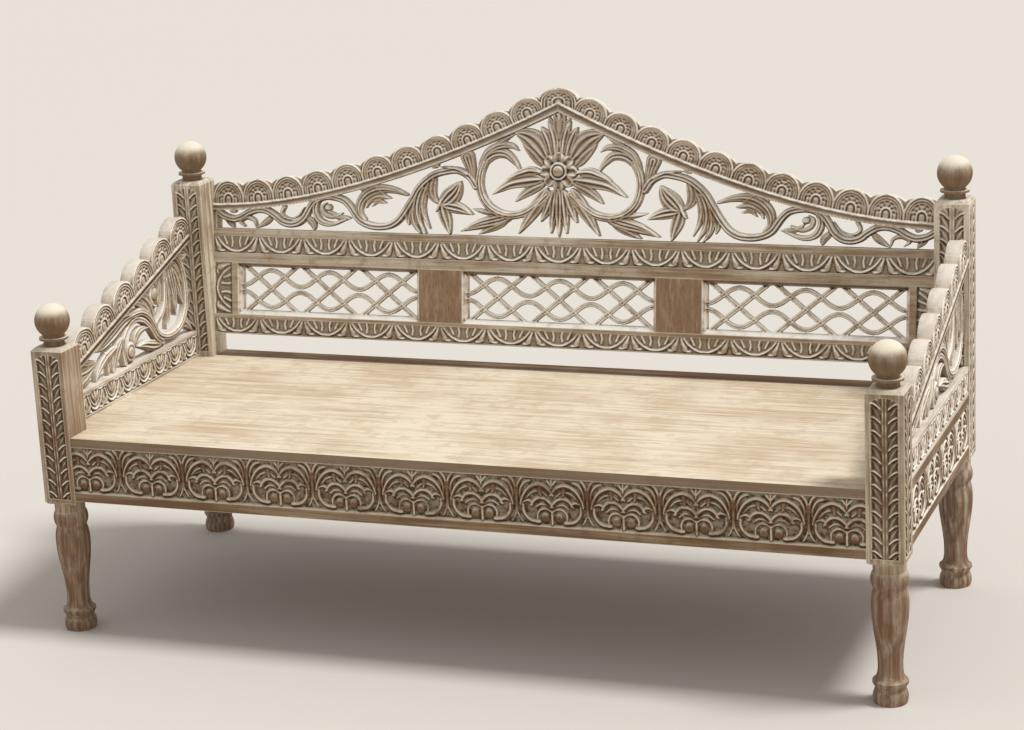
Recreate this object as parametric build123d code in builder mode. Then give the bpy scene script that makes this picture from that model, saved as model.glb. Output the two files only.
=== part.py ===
from build123d import *

import os
from math import ceil, cos, pi, radians, sin, sqrt

# A carved daybed: four turned posts joined by deep rails, a planked deck, two stepped
# side panels and a tall back panel that leans back between the rear posts.
# +X runs along the bed, +Y to the back, +Z up. The origin is on the floor, bottom centre.

os.makedirs("parts", exist_ok=True)

# ---------------------------------------------------------------- overall sizes (mm)
bed_length = 2000.0          # over the posts, along X
bed_depth = 810.0            # over the posts, along Y
post_size = 80.0             # square part of a post
front_post_height = 684.0    # floor to the flat top of a front post
back_post_height = 923.0
leg_height = 312.0           # floor to the underside of the square part
deck_height = 474.0          # floor to the top of the deck
fit_gap = 0.3                # clearance round tenons, dowels, spigots and screws
face_setback = 2.0           # rails and panels stand this far behind the post faces
carving_depth = 5.0          # ground of the carved fields

# ---------------------------------------------------------------- turned leg
foot_radius = 37.5
foot_inset = 3.0             # rounding in of the foot at the floor
foot_height = 30.0
groove_radius = 33.0
groove_height = 36.0
skirt_radius = 38.0
skirt_height = 50.0
skirt_lip = 6.0
waist_radius = 26.5
waist_height = 82.0
belly_radius = 40.0
belly_height = 218.0
neck_radius = 35.0
neck_height = 251.0
neck_band = 4.0
ring_radius = 40.0
ring_thickness = 36.0
post_foot_chamfer = 5.0

# ---------------------------------------------------------------- post tops and finials
post_top_chamfer = 7.0
ball_radius = 40.0
ball_lift = 17.0             # post top to the underside of the ball
collar_radius = 33.0
collar_thickness = 5.0
finial_neck_radius = 24.0
spigot_radius = 10.0
spigot_length = 35.0
post_field_margin = 11.0     # plain edge beside the carved field of a post
post_field_foot = 14.0
post_field_head = 24.0
post_field_arch = 9.0

# ---------------------------------------------------------------- rails and joints
rail_foot = 323.0            # underside of the front and back rails
side_rail_foot = 330.0
rail_thickness = 40.0
back_rail_thickness = 55.0
side_thickness = 38.0        # side rails and side panels
rail_field_foot = 21.0       # plain border below the carved field
rail_field_head = 2.0
tenon_thickness = 20.0
side_tenon_thickness = 16.0
tenon_length = 40.0
tenon_shoulder = 16.0        # rail edge to tenon edge, top and bottom
peg_radius = 4.0
peg_length = 70.0
peg_share = 32.0 / 99.0      # of a long tenon's height, from its middle to each of its two pegs

# ---------------------------------------------------------------- deck
deck_thickness = 20.0
board_count = 5
board_gap = 0.3
deck_back_edge = 345.0       # Y of the deck's back edge
bearer_count = 5
bearer_width = 45.0
bearer_height = 30.0
ledger_width = 25.0
ledger_height = 30.0
screw_radius = 2.0
screw_head_radius = 4.0
screw_head_height = 3.0
screw_bite = 12.0            # length of a deck screw inside a board
ledger_screw_count = 6
ledger_screw_length = 45.0

# ---------------------------------------------------------------- side panels
band_height = 67.0           # carved band that stands on a side rail
band_border = 7.0
edge_front_rise = 123.0      # deck to the top of the moulding, at the front post
edge_back_rise = 318.0       # deck to the top of the moulding, at the back post
moulding_height = 16.0
moulding_proud = 3.0
side_scallop_pitch = 107.0   # along the sloping moulding
side_cusp_height = 36.0      # moulding to the notch between two scallops
side_scallop_rise = 25.0     # notch line to the crown of a scallop
dowel_radius = 5.0
dowel_length = 60.0

# ---------------------------------------------------------------- back panel
back_lean = 7.9              # degrees from upright
back_front = 345.8           # Y of the panel's front face at its lower edge
back_gap = 58.0              # deck to the panel's lower edge
panel_thickness = 32.0
lower_rail_width = 50.0
lattice_height = 131.0
upper_rail_width = 85.0
lower_field_foot = 3.0
lower_field_height = 38.0
upper_field_foot = 25.0
upper_field_height = 42.0
end_stile_width = 64.0
muntin_width = 113.0
stub_length = 16.0
stub_thickness = 12.0
lattice_border = 11.0
lattice_setback = 10.0
lattice_thickness = 10.0
lattice_rim = 0.25           # flat left outside the bevel round a lattice
lattice_bar = 9.0
bar_bury = 1.0               # how far the bars run into the frame
lattice_period = 160.0
lattice_swing = 26.0         # half the rise and fall of a curved bar

# ---------------------------------------------------------------- crest
crest_end_rise = 62.0        # upper rail to the top of the moulding, beside a post
crest_apex_rise = 326.0      # upper rail to the top of the moulding, in the middle
crest_shoulder = 0.6         # share of the half length over which the curve eases in
crest_scallops = 11.5        # scallops on one half, with half of the middle one
crest_end_cusp = 45.0
crest_apex_cusp = 31.0
crest_scallop_rise = 13.5
apex_scallop_rise = 24.5
apex_moulding_height = 22.0
crest_post_width = 9.0       # upright strip that ends the crest beside a post
fret_thickness = 24.0
fret_setback = 3.0
vine_width = 17.0
bud_radius = 22.0            # round bud in a side fret
calyx_radius = 14.0          # heart of a flower in the crest
rosette_radius = 50.0
rosette_rise = 161.0         # upper rail to the middle of the rosette
loop_radius = 72.0

# ---------------------------------------------------------------- worked-out places
half_length = bed_length / 2
half_depth = bed_depth / 2
post_x = half_length - post_size / 2
post_y = half_depth - post_size / 2
back_foot = deck_height + back_gap
inner_x = half_length - post_size        # inner face of a post
inner_y = half_depth - post_size
board_foot = deck_height - deck_thickness
rail_front = half_depth - face_setback   # distance of a rail's outer face from the middle
side_face = half_length - face_setback
side_inner = side_face - side_thickness
rail_mid_y = rail_front - rail_thickness / 2
back_rail_mid_y = rail_front - back_rail_thickness / 2
side_mid_x = side_face - side_thickness / 2
band_top = deck_height + band_height
peg_mid_z = (rail_foot + board_foot) / 2
side_peg_z = peg_mid_z
peg_spread = (board_foot - rail_foot - 2 * tenon_shoulder) * peg_share
posts = {
    "front_left": (-1, -1, front_post_height),
    "front_right": (1, -1, front_post_height),
    "back_left": (-1, 1, back_post_height),
    "back_right": (1, 1, back_post_height),
}
sides = {"left": -1, "right": 1}

back_face = Plane(
    origin=(0, back_front, back_foot),
    x_dir=(1, 0, 0),
    z_dir=(0, -cos(radians(back_lean)), sin(radians(back_lean))),
)
half_span = inner_x - fit_gap            # half length of everything between the back posts
opening_foot = lower_rail_width
opening_head = opening_foot + lattice_height
crest_foot = opening_head + upper_rail_width
lattice_width = (2 * half_span - 2 * end_stile_width - 2 * muntin_width) / 3
lattice_pitch = lattice_width + muntin_width


def save(piece, name):
    """Label a finished piece and write its STEP file."""
    piece.part.label = name
    export_step(piece.part, f"parts/{name}.step")


# ---------------------------------------------------------------- places of hidden joints
def back_dowel_centre(rise):
    """Point of the back panel's middle plane at a distance up its slope."""
    centre = back_face.from_local_coords((0, rise, -panel_thickness / 2))
    return centre.Y, centre.Z


panel_dowels = [
    back_dowel_centre(lower_rail_width / 2),
    back_dowel_centre(crest_foot - upper_rail_width / 2),
]


side_slope = (edge_back_rise - edge_front_rise) / (2 * inner_y)


def moulding_top(y):
    """Height of the side moulding's top at a place along the depth."""
    return deck_height + edge_front_rise + side_slope * (y + inner_y)


def side_dowel_heights(side_y):
    """Heights of the dowels that hold a side band and a side edge to a post."""
    return [deck_height + band_height / 2, moulding_top(side_y * inner_y) + 2 * dowel_radius]


# ---------------------------------------------------------------- posts
def make_post(name, side_x, side_y, height):
    """A post: a turned leg below, a square part above with carved fields on two faces."""
    x = side_x * post_x
    y = side_y * post_y
    rail_y = rail_mid_y if side_y < 0 else back_rail_mid_y
    rail_head = board_foot if side_y < 0 else deck_height
    field_width = post_size - 2 * post_field_margin
    ring_foot = neck_height + neck_band
    with BuildPart() as post:
        with BuildSketch(Plane.XY.offset(leg_height)):
            with Locations((x, y)):
                Rectangle(post_size, post_size)
        extrude(amount=height - leg_height)
        chamfer(post.edges().group_by(Axis.Z)[-1], post_top_chamfer)
        chamfer(post.edges().group_by(Axis.Z)[0], post_foot_chamfer)
        with BuildSketch(Plane(origin=(x, y, 0), x_dir=(1, 0, 0), z_dir=(0, -1, 0))):
            with BuildLine():
                Line((0, 0), (foot_radius - foot_inset, 0))
                ThreePointArc(
                    (foot_radius - foot_inset, 0),
                    (foot_radius, foot_height / 2),
                    (groove_radius, foot_height),
                )
                Line((groove_radius, foot_height), (groove_radius, groove_height))
                Line((groove_radius, groove_height), (skirt_radius, skirt_height - skirt_lip))
                Line((skirt_radius, skirt_height - skirt_lip), (skirt_radius, skirt_height))
                Spline(
                    (skirt_radius, skirt_height), (waist_radius, waist_height), tangents=[(-1, 0.5), (0, 1)]
                )
                Spline(
                    (waist_radius, waist_height), (belly_radius, belly_height), tangents=[(0, 1), (0, 1)]
                )
                TangentArc((belly_radius, belly_height), (neck_radius, neck_height), tangent=(0, 1))
                Line((neck_radius, neck_height), (neck_radius, ring_foot))
                ThreePointArc(
                    (neck_radius, ring_foot),
                    (ring_radius, ring_foot + ring_thickness / 2),
                    (neck_radius, ring_foot + ring_thickness),
                )
                Line((neck_radius, ring_foot + ring_thickness), (neck_radius, leg_height))
                Line((neck_radius, leg_height), (0, leg_height))
                Line((0, leg_height), (0, 0))
            make_face()
        revolve(axis=Axis((x, y, 0), (0, 0, 1)))
        # carved fields on the front and outer faces, each with a round head
        field_head = height - post_field_head
        front_field_foot = (leg_height if side_y < 0 else deck_height) + post_field_foot
        carved_faces = [
            (Plane(origin=(x, y - post_size / 2, 0), x_dir=(1, 0, 0), z_dir=(0, -1, 0)), front_field_foot),
            (
                Plane(origin=(side_x * half_length, y, 0), x_dir=(0, side_x, 0), z_dir=(side_x, 0, 0)),
                leg_height + post_field_foot,
            ),
        ]
        for face, field_foot in carved_faces:
            with BuildSketch(face):
                with BuildLine():
                    Line((-field_width / 2, field_head), (-field_width / 2, field_foot))
                    Line((-field_width / 2, field_foot), (field_width / 2, field_foot))
                    Line((field_width / 2, field_foot), (field_width / 2, field_head))
                    SagittaArc(
                        (field_width / 2, field_head), (-field_width / 2, field_head), -post_field_arch
                    )
                make_face()
            extrude(amount=-carving_depth, mode=Mode.SUBTRACT)
        # mortises for the long rail and for the side rail
        mortise_head = rail_head - tenon_shoulder + fit_gap
        mortise_foot = rail_foot + tenon_shoulder - fit_gap
        mortise_x = side_x * (inner_x + tenon_length / 2)
        with Locations((mortise_x, side_y * rail_y, (mortise_head + mortise_foot) / 2)):
            Box(
                tenon_length + 2 * fit_gap,
                tenon_thickness + 2 * fit_gap,
                mortise_head - mortise_foot,
                mode=Mode.SUBTRACT,
            )
        side_head = deck_height - tenon_shoulder + fit_gap
        side_foot = side_rail_foot + tenon_shoulder - fit_gap
        mortise_y = side_y * (inner_y + tenon_length / 2)
        with Locations((side_x * side_mid_x, mortise_y, (side_head + side_foot) / 2)):
            Box(
                side_tenon_thickness + 2 * fit_gap,
                tenon_length + 2 * fit_gap,
                side_head - side_foot,
                mode=Mode.SUBTRACT,
            )
        # peg holes, drilled from the two hidden inner faces
        for spread in (-peg_spread, peg_spread):
            with BuildSketch(Plane.XZ.offset(-side_y * inner_y)):
                with Locations((mortise_x, peg_mid_z + spread)):
                    Circle(peg_radius + fit_gap)
            extrude(amount=-side_y * (peg_length + fit_gap), mode=Mode.SUBTRACT)
        with BuildSketch(Plane.YZ.offset(side_x * inner_x)):
            with Locations((mortise_y, side_peg_z)):
                Circle(peg_radius + fit_gap)
        extrude(amount=side_x * (peg_length + fit_gap), mode=Mode.SUBTRACT)
        # dowel holes for the side panel
        with BuildSketch(Plane.XZ.offset(-side_y * inner_y)):
            for z in side_dowel_heights(side_y):
                with Locations((side_x * side_mid_x, z)):
                    Circle(dowel_radius + fit_gap)
        extrude(amount=-side_y * (dowel_length / 2 + fit_gap), mode=Mode.SUBTRACT)
        # dowel holes for the back panel
        if side_y > 0:
            with BuildSketch(Plane.YZ.offset(side_x * inner_x)):
                for y_dowel, z_dowel in panel_dowels:
                    with Locations((y_dowel, z_dowel)):
                        Circle(dowel_radius + fit_gap)
            extrude(amount=side_x * (dowel_length / 2 + fit_gap), mode=Mode.SUBTRACT)
        # socket for the finial
        with BuildSketch(Plane.XY.offset(height)):
            with Locations((x, y)):
                Circle(spigot_radius + fit_gap)
        extrude(amount=-(spigot_length + fit_gap), mode=Mode.SUBTRACT)
    save(post, f"post_{name}")


def make_finial(name, side_x, side_y, height):
    """A ball on a collared neck, with a spigot that enters the post."""
    x = side_x * post_x
    y = side_y * post_y
    ball_mid = height + ball_lift + ball_radius
    with BuildPart() as finial:
        with Locations((x, y, ball_mid)):
            Sphere(ball_radius)
        with BuildSketch(Plane.XY.offset(height)):
            with Locations((x, y)):
                Circle(finial_neck_radius)
        extrude(amount=ball_lift + ball_radius / 4)
        with BuildSketch(Plane.XY.offset(height + ball_lift - collar_thickness / 2)):
            with Locations((x, y)):
                Circle(collar_radius)
        extrude(amount=collar_thickness)
        with BuildSketch(Plane.XY.offset(height)):
            with Locations((x, y)):
                Circle(spigot_radius)
        extrude(amount=-spigot_length)
    save(finial, f"finial_{name}")


for post_name, (post_side_x, post_side_y, post_top) in posts.items():
    make_post(post_name, post_side_x, post_side_y, post_top)
    make_finial(post_name, post_side_x, post_side_y, post_top)


# ---------------------------------------------------------------- rails
def make_long_rail(name, side_y, mid_y, thickness, head):
    """The front or back rail, with a tenon and two peg holes at each end."""
    tenon_height = head - rail_foot - 2 * tenon_shoulder
    with BuildPart() as rail:
        with BuildSketch(Plane.XY.offset(rail_foot)):
            with Locations((0, side_y * mid_y)):
                Rectangle(2 * inner_x, thickness)
        extrude(amount=head - rail_foot)
        with BuildSketch(Plane.XY.offset(rail_foot + tenon_shoulder)):
            with Locations((0, side_y * mid_y)):
                Rectangle(2 * (inner_x + tenon_length), tenon_thickness)
        extrude(amount=tenon_height)
        if side_y < 0:
            field_height = head - rail_foot - rail_field_foot - rail_field_head
            with BuildSketch(Plane.XZ.offset(rail_front)):
                with Locations((0, rail_foot + rail_field_foot + field_height / 2)):
                    Rectangle(2 * inner_x, field_height)
            extrude(amount=-carving_depth, mode=Mode.SUBTRACT)
        with BuildSketch(Plane.XZ.offset(-side_y * inner_y)):
            for side_x in (-1, 1):
                for spread in (-peg_spread, peg_spread):
                    with Locations((side_x * (inner_x + tenon_length / 2), peg_mid_z + spread)):
                        Circle(peg_radius + fit_gap)
        extrude(amount=-side_y * peg_length, mode=Mode.SUBTRACT)
        with BuildSketch(Plane.XZ.offset(-side_y * (mid_y - thickness / 2))):
            for x in ledger_screw_places():
                with Locations((x, ledger_mid_z)):
                    Circle(screw_radius + fit_gap)
        extrude(amount=-side_y * (ledger_screw_length - ledger_width + fit_gap), mode=Mode.SUBTRACT)
    save(rail, name)


ledger_head = board_foot - bearer_height
ledger_mid_z = ledger_head - ledger_height / 2


def ledger_screw_places():
    """Places along a long rail of the screws that hold its ledger."""
    pitch = 2 * inner_x / ledger_screw_count
    return [pitch * (number + 0.5) - inner_x for number in range(ledger_screw_count)]


make_long_rail("rail_front", -1, rail_mid_y, rail_thickness, board_foot)
make_long_rail("rail_back", 1, back_rail_mid_y, back_rail_thickness, deck_height)

for side_name, side in sides.items():
    with BuildPart() as side_rail:
        with BuildSketch(Plane.XY.offset(side_rail_foot)):
            with Locations((side * side_mid_x, 0)):
                Rectangle(side_thickness, 2 * inner_y)
        extrude(amount=deck_height - side_rail_foot)
        with BuildSketch(Plane.XY.offset(side_rail_foot + tenon_shoulder)):
            with Locations((side * side_mid_x, 0)):
                Rectangle(side_tenon_thickness, 2 * (inner_y + tenon_length))
        extrude(amount=deck_height - side_rail_foot - 2 * tenon_shoulder)
        side_field_height = board_foot - side_rail_foot - rail_field_foot - rail_field_head
        with BuildSketch(Plane.YZ.offset(side * side_face)):
            with Locations((0, side_rail_foot + rail_field_foot + side_field_height / 2)):
                Rectangle(2 * inner_y, side_field_height)
        extrude(amount=-side * carving_depth, mode=Mode.SUBTRACT)
        with BuildSketch(Plane.YZ.offset(side * inner_x)):
            for side_y in (-1, 1):
                with Locations((side_y * (inner_y + tenon_length / 2), side_peg_z)):
                    Circle(peg_radius + fit_gap)
        extrude(amount=side * (peg_length + fit_gap), mode=Mode.SUBTRACT)
    save(side_rail, f"rail_{side_name}")

with BuildPart() as tenon_pegs:
    for side_x, side_y, _ in posts.values():
        with BuildSketch(Plane.XZ.offset(-side_y * inner_y)):
            for spread in (-peg_spread, peg_spread):
                with Locations((side_x * (inner_x + tenon_length / 2), peg_mid_z + spread)):
                    Circle(peg_radius)
        extrude(amount=-side_y * peg_length)
        with BuildSketch(Plane.YZ.offset(side_x * inner_x)):
            with Locations((side_y * (inner_y + tenon_length / 2), side_peg_z)):
                Circle(peg_radius)
        extrude(amount=side_x * peg_length)
save(tenon_pegs, "tenon_pegs")


# ---------------------------------------------------------------- deck
deck_front_edge = -rail_front
board_pitch = (deck_back_edge - deck_front_edge) / board_count
bearer_reach = inner_x - fit_gap - bearer_width / 2
bearer_pitch = 2 * bearer_reach / (bearer_count - 1)
bearer_places = [bearer_pitch * number - bearer_reach for number in range(bearer_count)]
ledger_front_y = rail_front - rail_thickness
ledger_back_y = rail_front - back_rail_thickness
board_middles = [deck_front_edge + board_pitch * (number + 0.5) for number in range(board_count)]

for number, middle in enumerate(board_middles, start=1):
    with BuildPart() as board:
        with BuildSketch(Plane.XY.offset(board_foot)):
            with Locations((0, middle)):
                Rectangle(2 * (side_inner - fit_gap), board_pitch - board_gap)
            for side_x in (-1, 1):
                for side_y in (-1, 1):
                    with Locations((side_x * post_x, side_y * post_y)):
                        Rectangle(post_size + 2 * fit_gap, post_size + 2 * fit_gap, mode=Mode.SUBTRACT)
        extrude(amount=deck_thickness)
        with BuildSketch(Plane.XY.offset(board_foot)):
            for x in bearer_places:
                with Locations((x, middle)):
                    Circle(screw_radius + fit_gap)
        extrude(amount=screw_bite + fit_gap, mode=Mode.SUBTRACT)
    save(board, f"deck_board_{number}")

for number, x in enumerate(bearer_places, start=1):
    bearer_front = -ledger_front_y + fit_gap
    bearer_back = ledger_back_y - fit_gap
    with BuildPart() as bearer:
        with BuildSketch(Plane.XY.offset(ledger_head)):
            with Locations((x, (bearer_front + bearer_back) / 2)):
                Rectangle(bearer_width, bearer_back - bearer_front)
        extrude(amount=bearer_height)
        with BuildSketch(Plane.XY.offset(ledger_head)):
            for middle in board_middles:
                if bearer_front + ledger_width < middle < bearer_back - ledger_width:
                    with Locations((x, middle)):
                        Circle(screw_head_radius + fit_gap)
        extrude(amount=screw_head_height + fit_gap, mode=Mode.SUBTRACT)
        with BuildSketch(Plane.XY.offset(ledger_head)):
            for middle in board_middles:
                with Locations((x, middle)):
                    Circle(screw_radius + fit_gap)
        extrude(amount=bearer_height, mode=Mode.SUBTRACT)
    save(bearer, f"bearer_{number}")

for name, side_y, rail_inner in (("front", -1, ledger_front_y), ("back", 1, ledger_back_y)):
    with BuildPart() as ledger:
        with BuildSketch(Plane.XY.offset(ledger_head - ledger_height)):
            with Locations((0, side_y * (rail_inner - ledger_width / 2))):
                Rectangle(2 * inner_x - 2 * fit_gap, ledger_width)
        extrude(amount=ledger_height)
        with BuildSketch(Plane.XZ.offset(-side_y * (rail_inner - ledger_width))):
            for x in ledger_screw_places():
                with Locations((x, ledger_mid_z)):
                    Circle(screw_radius + fit_gap)
        extrude(amount=-side_y * ledger_width, mode=Mode.SUBTRACT)
    save(ledger, f"ledger_{name}")

with BuildPart() as deck_screws:
    screwed = [m for m in board_middles if -ledger_front_y + ledger_width < m < ledger_back_y - ledger_width]
    for x in bearer_places:
        for middle in screwed:
            with BuildSketch(Plane.XY.offset(ledger_head)):
                with Locations((x, middle)):
                    Circle(screw_head_radius)
            extrude(amount=screw_head_height)
            with BuildSketch(Plane.XY.offset(ledger_head)):
                with Locations((x, middle)):
                    Circle(screw_radius)
            extrude(amount=bearer_height + screw_bite)
save(deck_screws, "deck_screws")

with BuildPart() as ledger_screws:
    for side_y, rail_inner in ((-1, ledger_front_y), (1, ledger_back_y)):
        for x in ledger_screw_places():
            with BuildSketch(Plane.XZ.offset(-side_y * (rail_inner - ledger_width))):
                with Locations((x, ledger_mid_z)):
                    Circle(screw_radius)
            extrude(amount=-side_y * ledger_screw_length)
            with BuildSketch(Plane.XZ.offset(-side_y * (rail_inner - ledger_width))):
                with Locations((x, ledger_mid_z)):
                    Circle(screw_head_radius)
            extrude(amount=side_y * screw_head_height)
save(ledger_screws, "ledger_screws")


# ---------------------------------------------------------------- ornament helpers
def leaf(root, tip, bulge_left, bulge_right):
    """A pointed leaf between two points, with the bulge of each side."""
    with BuildLine() as outline:
        SagittaArc(root, tip, bulge_left)
        SagittaArc(tip, root, bulge_right)
    make_face(outline.edges())


def stroke(points, width):
    """A stem of even width along a smooth line through the points."""
    with BuildLine() as stem:
        Spline(*points)
    trace(stem.edges(), line_width=width)


# ---------------------------------------------------------------- side panels
def side_moulding(y, below=0.0):
    """A point of the side moulding's top line, or of a line that lies below it."""
    return Vector(y, moulding_top(y) - below)


for side_name, side in sides.items():
    inner_face = Plane.YZ.offset(side * side_inner)
    outer_face = Plane.YZ.offset(side * side_face)
    field_head = band_top - band_border
    field_foot = deck_height + band_border

    with BuildPart() as band:
        with BuildSketch(inner_face):
            with Locations((0, (deck_height + band_top) / 2)):
                Rectangle(2 * inner_y, band_height)
        extrude(amount=side * side_thickness)
        for face, depth in ((inner_face, side * carving_depth), (outer_face, -side * carving_depth)):
            with BuildSketch(face):
                with Locations((0, (field_foot + field_head) / 2)):
                    Rectangle(2 * inner_y, field_head - field_foot)
            extrude(amount=depth, mode=Mode.SUBTRACT)
        for side_y in (-1, 1):
            with BuildSketch(Plane.XZ.offset(-side_y * inner_y)):
                with Locations((side * side_mid_x, side_dowel_heights(side_y)[0])):
                    Circle(dowel_radius + fit_gap)
            extrude(amount=side_y * (dowel_length / 2 + fit_gap), mode=Mode.SUBTRACT)
    save(band, f"side_band_{side_name}")

    # moulding and scallops, cut from one board that rises to the back
    with BuildPart() as edge:
        with BuildSketch(inner_face):
            with BuildLine():
                along = (side_moulding(inner_y) - side_moulding(-inner_y)).normalized()
                upright = Vector(-along.Y, along.X)
                scallop_total = ceil(2 * inner_y / along.X / side_scallop_pitch)
                first_notch = side_moulding(inner_y) + Vector(0, side_cusp_height / along.X)
                steps = range(scallop_total + 1)
                notches = [first_notch - along * side_scallop_pitch * step for step in steps]
                for start, end in zip(notches, notches[1:]):
                    SagittaArc(start, end, -side_scallop_rise)
                Line(notches[-1], notches[-1] - Vector(0, 2 * side_cusp_height))
                Line(notches[-1] - Vector(0, 2 * side_cusp_height), side_moulding(-inner_y, moulding_height))
                Line(side_moulding(-inner_y, moulding_height), side_moulding(inner_y, moulding_height))
                Line(side_moulding(inner_y, moulding_height), first_notch)
            make_face()
            with Locations((0, back_post_height / 2)):
                Rectangle(2 * inner_y, back_post_height, mode=Mode.INTERSECT)
        extrude(amount=side * side_thickness)
        with BuildSketch(inner_face.offset(-side * moulding_proud)):
            with BuildLine():
                Polyline(
                    side_moulding(-inner_y, moulding_height),
                    side_moulding(inner_y, moulding_height),
                    side_moulding(inner_y),
                    side_moulding(-inner_y),
                    close=True,
                )
            make_face()
        extrude(amount=side * (side_thickness + moulding_proud))
        for side_y in (-1, 1):
            with BuildSketch(Plane.XZ.offset(-side_y * inner_y)):
                with Locations((side * side_mid_x, side_dowel_heights(side_y)[1])):
                    Circle(dowel_radius + fit_gap)
            extrude(amount=side_y * (dowel_length / 2 + fit_gap), mode=Mode.SUBTRACT)
    save(edge, f"side_edge_{side_name}")

with BuildPart() as side_dowels:
    for side_x, side_y, _ in posts.values():
        with BuildSketch(Plane.XZ.offset(-side_y * (inner_y - dowel_length / 2))):
            for z in side_dowel_heights(side_y):
                with Locations((side_x * side_mid_x, z)):
                    Circle(dowel_radius)
        extrude(amount=-side_y * dowel_length)
save(side_dowels, "side_dowels")


def side_point(share, lift):
    """A point of a side fret: share of the depth from the front, lift between its borders."""
    y = -inner_y + 2 * inner_y * share
    head = moulding_top(y) - moulding_height
    return (y, band_top + (head - band_top) * lift)


# a running stem that rises and falls, then closes a tall loop beside the back post
side_stems = [
    [(0.0, 0.55), (0.12, 0.9), (0.3, 0.16), (0.5, 0.8)],
    [(0.5, 0.8), (0.62, 0.72), (0.7, 0.2), (0.8, 0.08)],
    [(0.8, 0.08), (0.92, 0.25), (0.93, 0.6), (0.87, 0.95)],
    [(0.87, 0.95), (0.78, 0.7), (0.74, 0.35), (0.8, 0.08)],
]
# leaves: root, tip and the bulge of each side
side_leaves = [
    ((0.56, 0.85), (0.14, 0.45), 14, 26),
    ((0.5, 0.6), (0.4, 0.0), 12, 12),
    ((0.32, 0.3), (0.1, 0.0), 16, 10),
    ((0.72, 0.1), (0.54, 0.38), 18, 18),
    ((0.94, 0.3), (0.85, 0.8), 12, 16),
    ((0.9, 0.18), (1.0, 0.52), 12, 12),
]
side_bud = (0.5, 0.26)
# places where the fret meets the band, the moulding and the posts
side_seats = [(0.12, 1.0), (0.5, 1.0), (0.87, 1.0), (0.3, 0.0), (0.78, 0.0), (0.0, 0.5), (1.0, 0.5)]

for side_name, side in sides.items():
    with BuildPart() as fret:
        with BuildSketch(Plane.YZ.offset(side * (side_inner + (side_thickness - fret_thickness) / 2))):
            for stem in side_stems:
                stroke([side_point(*place) for place in stem], vine_width)
            for root, tip, bulge_left, bulge_right in side_leaves:
                leaf(side_point(*root), side_point(*tip), bulge_left, bulge_right)
            with Locations(side_point(*side_bud)):
                Circle(bud_radius)
            with Locations([side_point(*seat) for seat in side_seats]):
                Circle(vine_width)
            with BuildLine():
                Polyline(
                    side_point(0, 0), side_point(1, 0), side_point(1, 1), side_point(0, 1), close=True
                )
            make_face(mode=Mode.INTERSECT)
        extrude(amount=side * fret_thickness)
    save(fret, f"side_fret_{side_name}")


# ---------------------------------------------------------------- back panel frame
stile_edge = half_span - end_stile_width
lattice_middles = [-lattice_pitch, 0, lattice_pitch]
muntin_middles = [-lattice_pitch / 2, lattice_pitch / 2]
upright_middles = [-half_span + end_stile_width / 2, *muntin_middles, half_span - end_stile_width / 2]
upright_widths = [end_stile_width, muntin_width, muntin_width, end_stile_width]
stub_trim = 10.0                         # upright edge to stub tenon edge
groove_plane = back_face.offset(-(panel_thickness - stub_thickness) / 2)


def make_panel_rail(name, foot, width, field_foot, field_height, stubs_at):
    """A rail of the back panel: carved field, mortises for the uprights, dowel holes."""
    dowel_y, dowel_z = back_dowel_centre(foot + width / 2)
    with BuildPart() as rail:
        with BuildSketch(back_face):
            with Locations((0, foot + width / 2)):
                Rectangle(2 * half_span, width)
        extrude(amount=-panel_thickness)
        with BuildSketch(back_face):
            with Locations((0, field_foot + field_height / 2)):
                Rectangle(2 * half_span, field_height)
        extrude(amount=-carving_depth, mode=Mode.SUBTRACT)
        with BuildSketch(groove_plane.offset(fit_gap)):
            for middle, upright in zip(upright_middles, upright_widths):
                with Locations((middle, stubs_at)):
                    Rectangle(upright - 2 * stub_trim + 2 * fit_gap, 2 * (stub_length + fit_gap))
        extrude(amount=-(stub_thickness + 2 * fit_gap), mode=Mode.SUBTRACT)
        with BuildSketch(Plane.YZ.offset(-half_span)):
            with Locations((dowel_y, dowel_z)):
                Circle(dowel_radius + fit_gap)
        extrude(amount=dowel_length / 2, mode=Mode.SUBTRACT)
        with BuildSketch(Plane.YZ.offset(half_span)):
            with Locations((dowel_y, dowel_z)):
                Circle(dowel_radius + fit_gap)
        extrude(amount=-dowel_length / 2, mode=Mode.SUBTRACT)
    save(rail, name)


make_panel_rail("back_lower_rail", 0, lower_rail_width, lower_field_foot, lower_field_height, opening_foot)
make_panel_rail(
    "back_upper_rail",
    opening_head,
    upper_rail_width,
    opening_head + upper_field_foot,
    upper_field_height,
    opening_head,
)

upright_names = ["back_stile_left", "back_muntin_left", "back_muntin_right", "back_stile_right"]
for name, middle, upright in zip(upright_names, upright_middles, upright_widths):
    with BuildPart() as stile:
        with BuildSketch(back_face):
            with Locations((middle, opening_foot + lattice_height / 2)):
                Rectangle(upright, lattice_height)
        extrude(amount=-panel_thickness)
        with BuildSketch(groove_plane):
            with Locations((middle, opening_foot + lattice_height / 2)):
                Rectangle(upright - 2 * stub_trim, lattice_height + 2 * stub_length)
        extrude(amount=-stub_thickness)
    save(stile, name)

with BuildPart() as back_dowels:
    for side in (-1, 1):
        with BuildSketch(Plane.YZ.offset(side * (inner_x - dowel_length / 2))):
            for dowel_y, dowel_z in panel_dowels:
                with Locations((dowel_y, dowel_z)):
                    Circle(dowel_radius)
        extrude(amount=side * dowel_length)
save(back_dowels, "back_dowels")


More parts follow.
